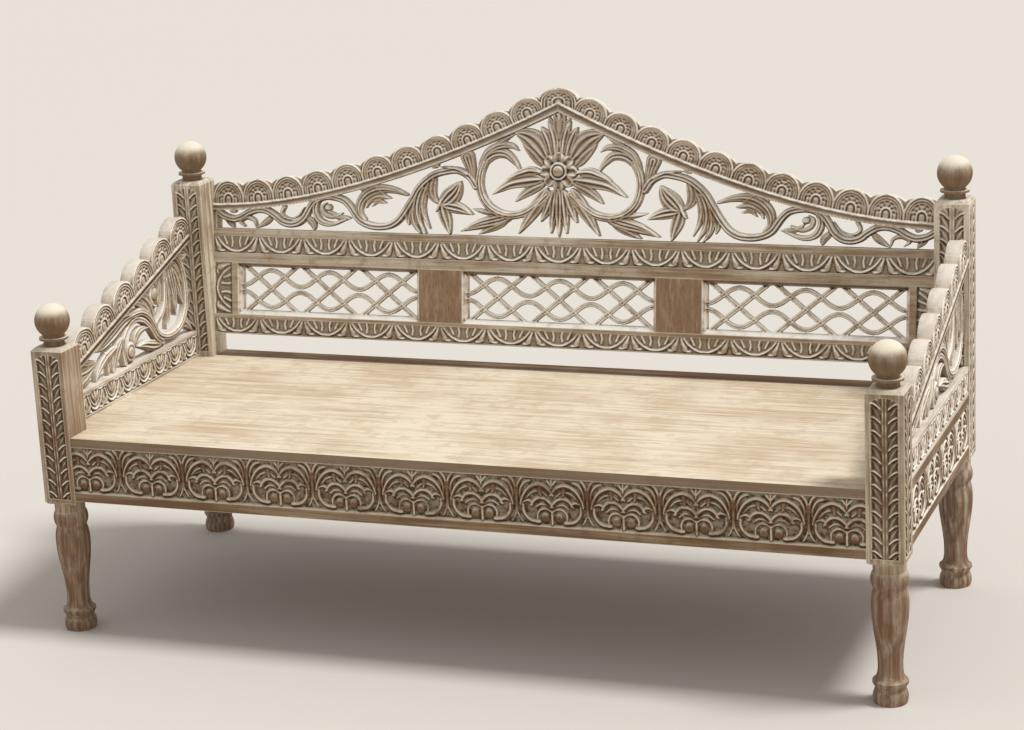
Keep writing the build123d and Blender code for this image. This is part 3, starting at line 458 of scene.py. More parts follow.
@dataclass
class Carving:
    """A carved surface: heights over a grid in the plane of a board. All lengths here are in mm."""

    across: Point
    up: Point
    cell: float
    ground: float = -4.5
    pierced: bool = False
    sense: int = 1
    u: Grid = field(init=False)
    v: Grid = field(init=False)
    height: Grid = field(init=False)
    outside: Grid = field(init=False)
    # painted shade: taken off the wear, which darkens places such as a moulding
    stain_and_shade: Grid | float = 0.0

    def __post_init__(self) -> None:
        """Lay out the grid at the level of the ground."""
        columns = round((self.across[1] - self.across[0]) / self.cell) + 1
        rows = round((self.up[1] - self.up[0]) / self.cell) + 1
        self.u, self.v = np.meshgrid(np.linspace(*self.across, columns), np.linspace(*self.up, rows))
        self.height = np.full(self.u.shape, self.ground)
        self.outside = np.full(self.u.shape, FAR)

    def _window(self, low: Grid, high: Grid) -> tuple[slice, slice]:
        """Rows and columns of the grid that a box covers.

        Args:
            low: lowest corner of the box.
            high: highest corner of the box.

        Returns:
            The slices of the rows and of the columns.
        """
        columns = np.searchsorted(self.u[0], (low[0], high[0]))
        rows = np.searchsorted(self.v[:, 0], (low[1], high[1]))
        return slice(rows[0], rows[1]), slice(columns[0], columns[1])

    def _measure(self, path: Grid, half: Grid, reach: float) -> tuple | None:
        """Measure the grid against a line of changing half width.

        Args:
            path: places along the line.
            half: half width at each place.
            reach: how far beyond the width to look.

        Returns:
            The window, the distance as a share of the half width with its side, the gap to the edge and
            the share of the length, or None where the line misses the grid.
        """
        margin = half.max() + reach
        window = self._window(path.min(0) - margin, path.max(0) + margin)
        shape = self.u[window].shape
        if 0 in shape:
            return None
        nearest = np.full(shape, FAR)
        side = np.zeros(shape)
        gap = np.full(shape, FAR)
        along = np.zeros(shape)
        total = len(path) - 1
        for k in range(total):
            a, b = path[k], path[k + 1]
            run = b - a
            length = run @ run
            if length == 0:
                continue
            rows, columns = self._window(np.minimum(a, b) - margin, np.maximum(a, b) + margin)
            if rows.start == rows.stop or columns.start == columns.stop:
                continue
            part = (
                slice(rows.start - window[0].start, rows.stop - window[0].start),
                slice(columns.start - window[1].start, columns.stop - window[1].start),
            )
            du = self.u[rows, columns] - a[0]
            dv = self.v[rows, columns] - a[1]
            t = np.clip((du * run[0] + dv * run[1]) / length, 0, 1)
            off = np.hypot(du - t * run[0], dv - t * run[1])
            width = half[k] + (half[k + 1] - half[k]) * t
            share = off / width
            closer = share < nearest[part]
            nearest[part] = np.where(closer, share, nearest[part])
            side[part] = np.where(closer, np.sign(run[0] * dv - run[1] * du), side[part])
            gap[part] = np.minimum(gap[part], off - width)
            along[part] = np.where(closer, (k + t) / total, along[part])
        return window, nearest, nearest * side, gap, along

    def stroke(
        self,
        points: Path,
        width: float,
        top: float | Point,
        edge: float,
        swell: Swell = EVEN,
        flutes: int = 1,
        flute: float = 0.5,
        moat: float = 0.0,
        both: bool = False,
        hollow: bool = False,
        lip: float = 0.0,
    ) -> None:
        """Leave a rounded ridge along a smooth line.

        Args:
            points: points that the line passes through.
            width: greatest width.
            top: height of the ridge, or its heights at the start and the end.
            edge: height at the ridge's edges.
            swell: how the width changes along the line.
            flutes: number of rounded strands side by side.
            flute: depth of the grooves between strands, as a share of the rise.
            moat: width of a cut all round, which sets the ridge off from what it crosses.
            both: whether to repeat it on the other side of the middle line.
            hollow: whether the strands are hollows between sharp ribs.
            lip: place of a sharp crest between the middle, 0, and the left edge, 1, or the right edge, -1.
        """
        if both:
            mirrored = [(-u, v) for u, v in points]
            self.stroke(mirrored, width, top, edge, swell, flutes, flute, moat, hollow=hollow, lip=-lip)
        path = smooth_path([(u * self.sense, v) for u, v in points])
        share = np.linspace(0, 1, len(path))
        half = np.maximum(width / 2 * swell.widths(share), LEAST)
        measured = self._measure(path, half, moat + 2 * self.cell)
        if measured is None:
            return
        window, nearest, sided, gap, along = measured
        start, end = top if isinstance(top, tuple) else (top, top)
        crest = start + (end - start) * along
        rise = np.sqrt(np.clip(1 - nearest**2, 0, 1))
        if hollow:
            ribs = (0.5 + 0.5 * np.cos(pi * flutes * (sided + 1))) ** 1.6
            rise = np.clip(1 - nearest**10, 0, 1) * (1 - flute * (1 - ribs))
        elif lip:
            off = sided - lip * self.sense
            slope = np.abs(off) / np.where(off > 0, 1 - lip * self.sense, 1 + lip * self.sense)
            rise = np.clip(1 - slope, 0, 1) ** 1.25
        elif flutes > 1:
            strands = 0.5 - 0.5 * np.cos(pi * flutes * (sided + 1))
            rise = rise * (1 - flute * (1 - strands))
        if moat:
            near = (gap > 0) & (gap < moat)
            lowered = np.minimum(self.height[window], edge - 0.6)
            self.height[window] = np.where(near, lowered, self.height[window])
        raised = np.maximum(self.height[window], edge + (crest - edge) * rise)
        self.height[window] = np.where(nearest < 1, raised, self.height[window])
        if self.pierced:
            self.outside[window] = np.minimum(self.outside[window], gap)

    def grow(self, table: Sequence[tuple], edge: float, both: bool = False) -> None:
        """Leave the leaves and stems of a table, where a leaf is fluted by sharp ribs.

        Args:
            table: kind, width, height of the crest, number of strands and points of each.
            edge: height at their edges.
            both: whether to repeat them on the other side of the middle line.
        """
        for kind, width, top, flutes, points in table:
            self.stroke(points, width, top, edge, kind, flutes, both=both, hollow=kind is LEAF)

    def groove(self, points: Path, width: float, depth: float) -> None:
        """Cut a rounded groove along a smooth line.

        Args:
            points: points that the line passes through.
            width: width of the groove.
            depth: depth below the surface there.
        """
        path = smooth_path([(u * self.sense, v) for u, v in points])
        measured = self._measure(path, np.full(len(path), width / 2), self.cell)
        if measured is not None:
            window, nearest, *_ = measured
            self.height[window] -= depth * np.clip(1 - nearest**2, 0, 1)

    def dome(self, centre: Point, radius: Point, top: float, edge: float, both: bool = False) -> None:
        """Leave a round or oval dome.

        Args:
            centre: middle of the dome.
            radius: its half width and half height.
            top: height at the middle.
            edge: height at the rim.
            both: whether to repeat it on the other side of the middle line.
        """
        if both:
            self.dome((-centre[0], centre[1]), radius, top, edge)
        centre = (centre[0] * self.sense, centre[1])
        reach = np.array(radius) + 2 * self.cell
        window = self._window(np.array(centre) - reach, np.array(centre) + reach)
        off = np.hypot((self.u[window] - centre[0]) / radius[0], (self.v[window] - centre[1]) / radius[1])
        raised = np.maximum(self.height[window], edge + (top - edge) * np.sqrt(np.clip(1 - off**2, 0, 1)))
        self.height[window] = np.where(off < 1, raised, self.height[window])
        if self.pierced:
            self.outside[window] = np.minimum(self.outside[window], (off - 1) * min(radius))

    def soften(self) -> None:
        """Round the steps between the cells a little."""
        self.height = blurred(self.height, 1, 1)

    def wear_and_light(self) -> Grid:
        """How far each place stands out from its surroundings, with painted light from the slope: 0.5 is
        even, 1 a ridge and 0 a cut.

        Returns:
            The wear and painted light at each place.
        """
        level = np.where(self.outside > 0, self.ground, self.height) if self.pierced else self.height
        near = level - blurred(level, max(1, round(2.2 / self.cell)), 2)
        wide = level - blurred(level, max(1, round(6.0 / self.cell)), 2)
        # painted light: slopes that face up count as ridges and slopes that face down as cuts
        upward = np.clip(-np.gradient(blurred(level, 1, 1), self.cell, axis=0), -0.8, 1.0)
        # the darkening of mouldings taken off here is painted shade
        return np.clip(0.45 + near / 2.8 + wide / 14.0 + 0.26 * upward - self.stain_and_shade, 0, 1)

    def snapped(self) -> tuple[Grid, Grid, Grid, Grid]:
        """Choose the solid cells and move the places round them onto the outline, so that it runs smooth.

        Returns:
            The places across and up, which cells are solid, and which places lie on the rim.
        """
        near = np.clip(self.outside, -3 * self.cell, 3 * self.cell)
        solid = near[:-1, :-1] + near[:-1, 1:] + near[1:, 1:] + near[1:, :-1] < 0
        ringed = np.pad(solid, 1).astype(int)
        filled = ringed[:-1, :-1] + ringed[:-1, 1:] + ringed[1:, 1:] + ringed[1:, :-1]
        rim = (filled > 0) & (filled < 4)
        slope_v, slope_u = np.gradient(near, self.v[:, 0], self.u[0])
        steep = np.maximum(slope_u**2 + slope_v**2, 0.25)
        step = np.where(rim & (np.abs(near) < 1.4 * self.cell), near, 0.0) / steep
        limit = 0.75 * self.cell
        u = self.u - np.clip(step * slope_u, -limit, limit)
        v = self.v - np.clip(step * slope_v, -limit, limit)
        return u, v, solid, rim


@dataclass(frozen=True)
class BoardFace:
    """The face of a board: its origin, its two directions and the way it looks, all in metres."""

    origin: Vector
    across: Vector
    up: Vector

    @property
    def out(self) -> Vector:
        """The way the face looks."""
        return self.across.cross(self.up)

    def places(self, u: Grid, v: Grid, w: Grid) -> Grid:
        """Turn places on the face, in mm, into places of the object, in metres.

        Args:
            u: mm across the face.
            v: mm up the face.
            w: mm out of the face.

        Returns:
            One row of X, Y and Z for each place.
        """
        axes = np.array([self.across, self.up, self.out])
        flat = np.stack([u.ravel(), v.ravel(), w.ravel()], axis=1) * MM
        return flat @ axes + np.array(self.origin)

    def shifted(self, u: float, v: float = 0.0, w: float = 0.0) -> "BoardFace":
        """Move the face by so many mm across, up and out."""
        origin = self.origin + (self.across * u + self.up * v + self.out * w) * MM
        return BoardFace(origin, self.across, self.up)


def end_face(node: str, side: int, back: float, rise: float) -> BoardFace:
    """Take the face of a node that looks to one end of the bed.

    Args:
        node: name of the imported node.
        side: 1 for the right end and -1 for the left.
        back: place of the origin along Y, in metres.
        rise: height of the origin, in metres.

    Returns:
        The face.
    """
    low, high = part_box(node)
    return BoardFace(Vector((high.x if side > 0 else low.x, back, rise)), Vector((0, side, 0)), UP)


def mesh_object(name: str, places: Grid, faces: Sequence[Grid], marks: dict[str, Grid]) -> Thing:
    """Make an object from places and faces.

    Args:
        name: name of the object.
        places: one row of X, Y and Z for each place.
        faces: groups of faces with the same number of corners, one row of place numbers for each face.
        marks: a value for each place, by the attribute's name.

    Returns:
        The object, linked to the scene.
    """
    corners = np.concatenate([group.ravel() for group in faces])
    sizes = np.concatenate([np.full(len(group), group.shape[1]) for group in faces])
    used, numbers = np.unique(corners, return_inverse=True)
    mesh = bpy.data.meshes.new(name)
    mesh.vertices.add(len(used))
    mesh.vertices.foreach_set("co", places[used].astype(np.float32).ravel())
    mesh.loops.add(len(corners))
    mesh.loops.foreach_set("vertex_index", numbers.astype(np.int32).ravel())
    mesh.polygons.add(len(sizes))
    mesh.polygons.foreach_set("loop_start", np.concatenate([[0], np.cumsum(sizes)[:-1]]).astype(np.int32))
    mesh.update(calc_edges=True)
    for key, values in marks.items():
        mark = mesh.attributes.new(key, "FLOAT", "POINT")
        mark.data.foreach_set("value", values[used].astype(np.float32))
    mesh.polygons.foreach_set("use_smooth", np.ones(len(sizes), bool))
    mesh.set_sharp_from_angle(angle=SHARP)
    made = bpy.data.objects.new(name, mesh)
    bpy.context.scene.collection.objects.link(made)
    return made


def open_edges(faces: Grid, count: int) -> Grid:
    """Find the edges that belong to one face only.

    Args:
        faces: the place numbers of each face's corners.
        count: number of places.

    Returns:
        The two place numbers of each open edge, in the order of its face.
    """
    pairs = np.stack([faces, np.roll(faces, -1, axis=1)], axis=2).reshape(-1, 2)
    ahead = pairs[:, 0] * count + pairs[:, 1]
    reverse = pairs[:, 1] * count + pairs[:, 0]
    return pairs[~np.isin(ahead, reverse)]


def board(
    name: str, carving: Carving, face: BoardFace, thickness: float | Grid, turned: float = 0.0
) -> Thing:
    """Turn a carving into a closed board.

    Args:
        name: name of the object.
        carving: the carved surface.
        face: the face that it is cut into.
        thickness: distance from the face to the back, in mm, one number or one for each place.
        turned: share of the carving's depth that also shows on the back.

    Returns:
        The board as an object.
    """
    carving.soften()
    u, v, rim = carving.u, carving.v, np.zeros(carving.u.shape, bool)
    rows, columns = u.shape
    solid = np.ones((rows - 1, columns - 1), bool)
    if carving.pierced:
        u, v, solid, rim = carving.snapped()
    wear_and_light = np.where(rim, RIM_WEAR, carving.wear_and_light()).ravel()
    depth = np.where(rim, 0.0, np.clip(carving.height / carving.ground, 0, 1)).ravel()
    marks = {"wear_and_light": np.concatenate([wear_and_light, wear_and_light]), "depth": np.concatenate([depth, depth])}
    top = face.places(u, v, carving.height)
    bottom = face.places(u, v, -thickness - turned * carving.height + np.zeros_like(u))
    under = rows * columns
    number = np.arange(under).reshape(rows, columns)
    corners = (number[:-1, :-1], number[:-1, 1:], number[1:, 1:], number[1:, :-1])
    front = np.stack([corner[solid] for corner in corners], axis=1)
    edges = open_edges(front, under)
    walls = np.column_stack([edges[:, 0] + under, edges[:, 1] + under, edges[:, 1], edges[:, 0]])
    if carving.pierced:
        back = front[:, ::-1] + under
    else:
        around = (number[:-1, 0], number[-1, :-1], number[:0:-1, -1], number[0, :0:-1])
        back = np.concatenate(around)[None] + under
    return mesh_object(name, np.vstack([top, bottom]), [front, back, walls], marks)


# ------------------------------------------------------------------------------------------ pieces
def finish_piece(piece: Thing, material: Material, stands_for: str | None = None) -> None:
    """Dress a new piece, fix it to the object and report it.

    Args:
        piece: the piece.
        material: its finish.
        stands_for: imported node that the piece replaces.
    """
    piece.data.materials.clear()
    piece.data.materials.append(material)
    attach(piece, BODY)
    if stands_for:
        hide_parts(stands_for)
    log.info("%s: %d faces", piece.name, len(piece.data.polygons))


def dress(material: Material, *names: str) -> None:
    """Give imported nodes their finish, with their shapes as they are.

    Args:
        material: the finish.
        names: names of the nodes.
    """
    for name in names:
        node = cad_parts[name]
        node.data.materials.clear()
        node.data.materials.append(material)
        log.info("%s: dressed in %s", name, material.name)


# ------------------------------------------------------------------------------------------ repeats
class Repeater:
    """A Geometry Nodes tree that sets copies of one unit along a straight line."""

    INPUTS = {
        "Geometry": "NodeSocketGeometry",
        "Unit": "NodeSocketObject",
        "Number": "NodeSocketInt",
        "First": "NodeSocketVector",
        "Step": "NodeSocketVector",
        "Finish": "NodeSocketMaterial",
    }
    NODES = (
        "NodeGroupInput",
        "GeometryNodeMeshLine",
        "GeometryNodeObjectInfo",
        "GeometryNodeInstanceOnPoints",
        "GeometryNodeRealizeInstances",
        "GeometryNodeSetMaterial",
        "NodeGroupOutput",
    )

    def __init__(self) -> None:
        """Build the tree with named inputs for the unit, the number, the first place and the step."""
        tree = bpy.data.node_groups.new("repeat_along_timber", "GeometryNodeTree")
        for name, kind in self.INPUTS.items():
            tree.interface.new_socket(name, in_out="INPUT", socket_type=kind)
        tree.interface.new_socket("Geometry", in_out="OUTPUT", socket_type="NodeSocketGeometry")
        given, line, unit, copies, real, finish, result = (tree.nodes.new(kind) for kind in self.NODES)
        for start, output, end, socket in (
            (given, "Number", line, "Count"),
            (given, "First", line, "Start Location"),
            (given, "Step", line, "Offset"),
            (given, "Unit", unit, "Object"),
            (line, "Mesh", copies, "Points"),
            (unit, "Geometry", copies, "Instance"),
            (copies, "Instances", real, "Geometry"),
            (real, "Geometry", finish, "Geometry"),
            (given, "Finish", finish, "Material"),
            (finish, "Geometry", result, "Geometry"),
        ):
            tree.links.new(start.outputs[output], end.inputs[socket])
        self.tree = tree
        self.sockets = {s.name: s.identifier for s in tree.interface.items_tree if s.in_out == "INPUT"}

    def lay(
        self, name: str, unit: Thing, number: int, first: Vector, step: Vector, finish: Material, slot: str
    ) -> None:
        """Set copies of a carved unit along a line and make them one finished piece.

        Args:
            name: name of the result.
            unit: the object to repeat, deleted afterwards.
            number: how many copies.
            first: shift of the first copy.
            step: shift from one copy to the next.
            finish: material of the result.
            slot: name of the record's material slot; not used.
        """
        host = bpy.data.objects.new(name, bpy.data.meshes.new(name))
        bpy.context.scene.collection.objects.link(host)
        modifier = host.modifiers.new("repeat", "NODES")
        modifier.node_group = self.tree
        values = {"Unit": unit, "Number": number, "Finish": finish}
        values |= {"First": tuple(first), "Step": tuple(step)}
        for key, value in values.items():
            modifier[self.sockets[key]] = value
        bpy.context.view_layer.update()
        seen = host.evaluated_get(bpy.context.evaluated_depsgraph_get())
        plain = bpy.data.meshes.new_from_object(seen)
        host.modifiers.remove(modifier)
        host.data = plain
        plain.name = name
        bpy.data.objects.remove(unit)
        finish_piece(host, finish)


@dataclass
class Assembly:
    """A sub-assembly, with the materials and the repeater that its pieces are made with."""

    finishes: Finishes
    repeater: Repeater


# ------------------------------------------------------------------------------------------ bed
@dataclass
class Deck(Assembly):
    """The planked deck and what carries it."""

    boards: int = 5
    bearers: int = 5

    def build(self) -> None:
        """Dress the boards, bearers, ledgers, rails, pegs and screws."""
        dress(self.finishes.deck, *(f"deck_board_{n + 1}" for n in range(self.boards)))
        dress(self.finishes.hidden, *(f"bearer_{n + 1}" for n in range(self.bearers)))
        dress(self.finishes.hidden, "ledger_front", "ledger_back")
        dress(self.finishes.hidden, "tenon_pegs", "side_dowels", "back_dowels")
        dress(self.finishes.front_rail, "rail_front", "rail_back")
        dress(self.finishes.side_rails, "rail_left", "rail_right")
        dress(self.finishes.steel, "deck_screws", "ledger_screws")


# Half of a palmette: kind, width, height of the crest, height of the edges, place of the crest, and points.
PALMETTE = (
    # buds, with the post between them
    (TAIL, 8, -0.6, -4.2, 0, [(0, 6), (0, 22), (0, 46)]),
    (EVEN, 8.5, -0.1, -4.2, -0.3, arc((16, 22), 17.0, -20, 200)),
    # lower pair of arches
    (EVEN, 7.5, -1.0, -4.3, 0.4, [(6, 41), (16, 48), (27, 48), (37, 41)]),
    (EVEN, 13.5, 0.4, -4.2, 0.45, [(0, 44), (7, 53), (17, 60), (28, 61), (38, 56), (45, 46)]),
    # hooked bands that hold the buds
    (SPINDLE, 11, 0.2, -4.2, -0.4, [(71, 38), (64, 51), (54, 55), (46, 51), (43, 45)]),
    (EVEN, 15, 0.2, -4.3, -0.35, [(67, 46), (67, 34), (62, 22), (52, 12), (40, 8), (29, 9)]),
    # upper pair of arches, with a tongue under each
    (TAIL, 13, -1.2, -4.3, 0, [(27, 84), (26, 74), (23, 64)]),
    (EVEN, 9.0, -0.8, -4.3, 0.4, [(12, 68), (22, 76), (35, 77), (47, 72), (58, 60)]),
    (EVEN, 14.5, 0.4, -4.2, 0.45, [
        (0, 71), (8, 81), (18, 88), (30, 91), (43, 87), (55, 78), (64, 64), (69, 48)
    ]),
    # leaves that spring from the stems
    (LEAF, 13, (0.2, -0.3), -4.2, -0.4, [(72, 58), (69, 80), (60, 95), (45, 102)]),
    (LEAF, 12, (0.2, -0.3), -4.2, -0.4, [(76, 68), (75, 88), (69, 101), (57, 109)]),
    # stems between the units
    (EVEN, 9, -0.8, -3.6, 0, [(80, 26), (80, 60), (80, 88)]),
    (EVEN, 6, -0.5, -3.8, 0, [(80, 84), (75, 96), (67, 108)]),
    (TAIL, 7, (-0.8, -1.6), -4.0, 0, [(79, 32), (74, 18), (66, 5)]),
    # small trefoil at the head
    (LEAF, 6, -0.4, -3.8, 0, [(0, 82), (0, 94), (0, 107)]),
    (LEAF, 6, -0.7, -3.9, 0, [(1, 90), (6, 98), (12, 104)]),
)


@dataclass
class Apron(Assembly):
    """The carved fields of the front rail and of the two side rails."""

    pitch: float = 160.0
    foot: float = 344.0
    height: float = 108.0
    side_rise: float = 21.0                # from a side rail's lower edge to its field
    side_height: float = 101.0
    cell: float = 1.38
    depth: float = 5.0
    full: int = 10                         # whole palmettes on the front rail

    def palmette(self, low: float, high: float, height: float) -> Carving:
        """Cut one palmette: two buds under nested arches, held by hooked bands between two stems.

        Args:
            low: where the unit begins, in mm from its middle.
            high: where it ends.
            height: height of the unit.

        Returns:
            The carving.
        """
        unit = Carving((low, high), (0, height), self.cell)
        unit.stroke([(-90, 0.5), (90, 0.5)], 5, -0.1, -2.7)
        for kind, width, top, edge, lip, points in PALMETTE:
            unit.stroke(points, width, top, edge, kind, both=points[-1][0] > 0 or points[0][0] > 0, lip=lip)
        unit.dome((16, 20), (11, 12), -0.6, -4.2, both=True)
        unit.dome((33, 10), (9, 6), 0.2, -4.0, both=True)
        return unit

    def build(self) -> None:
        """Lay the palmettes along the front rail and the side rails."""
        rail_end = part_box("post_front_right")[0].x / MM
        face = BoardFace(Vector((0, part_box("rail_front")[0].y, self.foot * MM)), RIGHT, UP)
        half = self.pitch / 2
        step = RIGHT * self.pitch * MM
        finish = self.finishes.apron
        for name, first in (("left", 0.5 - self.full / 2), ("right", 0.5)):
            unit = board("palmette", self.palmette(-half, half, self.height), face, self.depth)
            self.repeater.lay(f"apron_{name}", unit, self.full // 2, step * first, step, finish, "rail_wood")
        rest = rail_end - self.full * half
        for name, side in SIDES.items():
            work = self.palmette(*sorted((-side * half, side * (rest - half))), self.height)
            last = face.shifted(side * (self.full + 1) * half)
            finish_piece(board(f"apron_end_{name}", work, last, self.depth), finish)
        for name, side in SIDES.items():
            self._side(name, side)

    def _side(self, name: str, side: int) -> None:
        """Lay the palmettes along the outer face of one side rail.

        Args:
            name: which rail.
            side: 1 for the right one and -1 for the left.
        """
        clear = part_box("post_back_left")[0].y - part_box("post_front_left")[1].y
        number = round(clear / MM / self.pitch)
        pitch = clear / number
        half = pitch / MM / 2
        face = end_face(f"rail_{name}", side, 0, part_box(f"rail_{name}")[0].z + self.side_rise * MM)
        work = self.palmette(-half, half, self.side_height)
        unit = board("palmette", work, face, self.depth)
        first, step = Vector((0, (pitch - clear) / 2, 0)), Vector((0, pitch, 0))
        finish = self.finishes.side_apron
        self.repeater.lay(f"side_apron_{name}", unit, number, first, step, finish, "rail_wood")


@dataclass
class Posts(Assembly):
    """The four posts, their ball finials and their carved columns of leaves."""

    width: float = 80.0
    margin: float = 11.0
    foot_rise: float = 14.0
    head_drop: float = 24.0
    arch: float = 9.0
    depth: float = 5.0
    leaf_pitch: float = 29.0
    leaf_rise: float = 17.0
    rib: float = 5.0
    border: float = 1.6
    cell: float = 1.45
    square_foot: float = 312.0
    deck: float = 474.0

    def column(self, foot: float, head: float) -> Carving:
        """Cut a column of paired leaves beside a central rib, under a round head.

        Args:
            foot: lower end of the field.
            head: where the round head springs.

        Returns:
            The carving.
        """
        half = self.width / 2 - self.margin
        work = Carving((-half, half), (foot, head + self.arch), self.cell)
        radius = sweep(half, self.arch)
        centre = head + self.arch - radius
        above_head = (work.v > head - self.arch) & (np.hypot(work.u, work.v - centre) > radius + 0.4)
        number = round((head + self.arch - foot) / self.leaf_pitch)
        pitch = (head + self.arch - foot) / number
        away = np.abs(work.u)
        share = np.clip((away - self.rib) / (half - self.rib), 0, 1)
        within = np.mod(work.v - foot - self.leaf_rise * (1 - (1 - share) ** 2), pitch)
        hollow = -2.4 - 1.6 * within / pitch
        ridge = bump(np.minimum(within, pitch - within), 0.0, 3.0, 0.0, -self.depth)
        vein = bump(within, pitch * (0.08 + 0.8 * share), 2.4, -0.8, -self.depth)
        work.height = np.maximum(np.maximum(hollow, ridge), vein)
        for part, height in (
            (away < self.rib, np.where(away < self.rib - 1.5, -1.4 - 0.9 * (away < 1.2), -0.2)),
            (away > half - self.border, -0.2),
            (np.abs(away - self.rib - 0.4) < 0.8, -3.2),
            (above_head, 0.8 - self.depth),
        ):
            work.height = np.where(part, height, work.height)
        return work

    def build(self) -> None:
        """Dress the posts and set the carved columns into their faces."""
        front = self.finishes.posts, self.finishes.column, self.square_foot
        back = self.finishes.back_posts, self.finishes.back_column, self.deck
        for end, (plain, carved, front_foot) in (("front", front), ("back", back)):
            for name, side in SIDES.items():
                node = f"{end}_{name}"
                dress(plain, f"post_{node}")
                dress(self.finishes.finials, f"finial_{node}")
                low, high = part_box(f"post_{node}")
                middle = (low + high) / 2
                front_face = BoardFace(Vector((middle.x, low.y, 0)), RIGHT, UP)
                side_face = end_face(f"post_{node}", side, middle.y, 0)
                head = high.z / MM - self.head_drop
                places = ("front", front_face, front_foot), ("side", side_face, self.square_foot)
                for where, face, foot in places:
                    work = self.column(foot + self.foot_rise, head)
                    piece = board(f"post_carving_{node}_{where}", work, face, self.depth)
                    finish_piece(piece, carved)


# ------------------------------------------------------------------------------------------ scallops
@dataclass(frozen=True)
class Medallion:
    """The carving of one scallop: horseshoes round a leafy ring and a half-round boss."""

    half: float                            # half the pitch of the scallops
    centre_lift: float = 11.0
    floor: float = -5.0
    drawn_half: float = 42.0               # half the pitch that the rings below are drawn for
    rings: tuple = (                       # radius, half width and height of each plain ring
        (40.6, 2.4, 0.0),
        (34.8, 2.3, -0.2),
        (29.4, 2.0, -0.6),
        (12.6, 2.7, 0.0),
        (0.0, 8.6, -0.6),
    )
    leafy: tuple = (15.0, 27.2, 21.5)      # inner radius, outer radius and crest of the leafy ring
    leaves: int = 13

    def heights(self, across: Grid, above: Grid, crown: Grid) -> Grid:
        """Heights of the carving.

        Args:
            across: distance from the scallop's middle line.
            above: height above the moulding.
            crown: height of the scallop's crown above the moulding.

        Returns:
            The height at each place, 0 at the face.
        """
        scale = self.drawn_half / self.half
        lift = self.centre_lift / scale
        tall = np.maximum(above - lift, 0) * self.drawn_half / (crown - lift)
        radius = np.hypot(across * scale, tall)
        turn = np.arctan2(tall, np.abs(across) * scale)
        inner, outer, crest = self.leafy
        cuts = -3.4 + 1.5 * np.cos(turn * self.leaves + radius / 3)
        height = np.where((radius > inner) & (radius < outer), cuts, self.floor)
        ring = bump(radius, crest, 2.2, -1.0, self.floor)
        height = np.maximum(height, ring + np.cos(turn * self.leaves) - 1)
        for middle, half, top in self.rings:
            height = np.maximum(height, bump(radius, middle, half, top, self.floor))
        return height


def moulding(share: Grid, proud: float) -> Grid:
    """Profile of the moulding under the scallops: a flat band between two beads.

    Args:
        share: places from the moulding's top line, 0, to its lower line, 1.
        proud: how far it stands out.

    Returns:
        The height at each place.
    """
    upper = bump(share, 0.12, 0.12, proud, -0.5)
    lower = bump(share, 0.88, 0.11, proud - 0.4, -0.5)
    return np.maximum(np.maximum(upper, lower), proud - 1.8)


# ------------------------------------------------------------------------------------------ back
# Half of a swag, 42 high: kind, width, height of the crest, height of the edges, and points. The second
# part is drawn from the unit's end.
SWAG = (
    (EVEN, 5.0, 0.0, -3.8, [(51, 38), (41, 24), (31, 15), (20, 8), (8, 3.6), (0, 2.9)]),
    (EVEN, 5.2, -0.2, -4.0, [(12, 40), (10, 28), (11.5, 15)]),
    (EVEN, 5.2, -0.2, -4.0, [(33, 40), (29, 31), (25, 21)]),
)
SWAG_ENDS = (
    (TAIL, 13.5, 0.0, -4.0, [(-14, 10), (-8.5, 23), (-3.5, 38)]),
    (SPINDLE, 7.0, 0.0, -3.4, [(-9, 7), (-18, 4), (-29, 4)]),
)


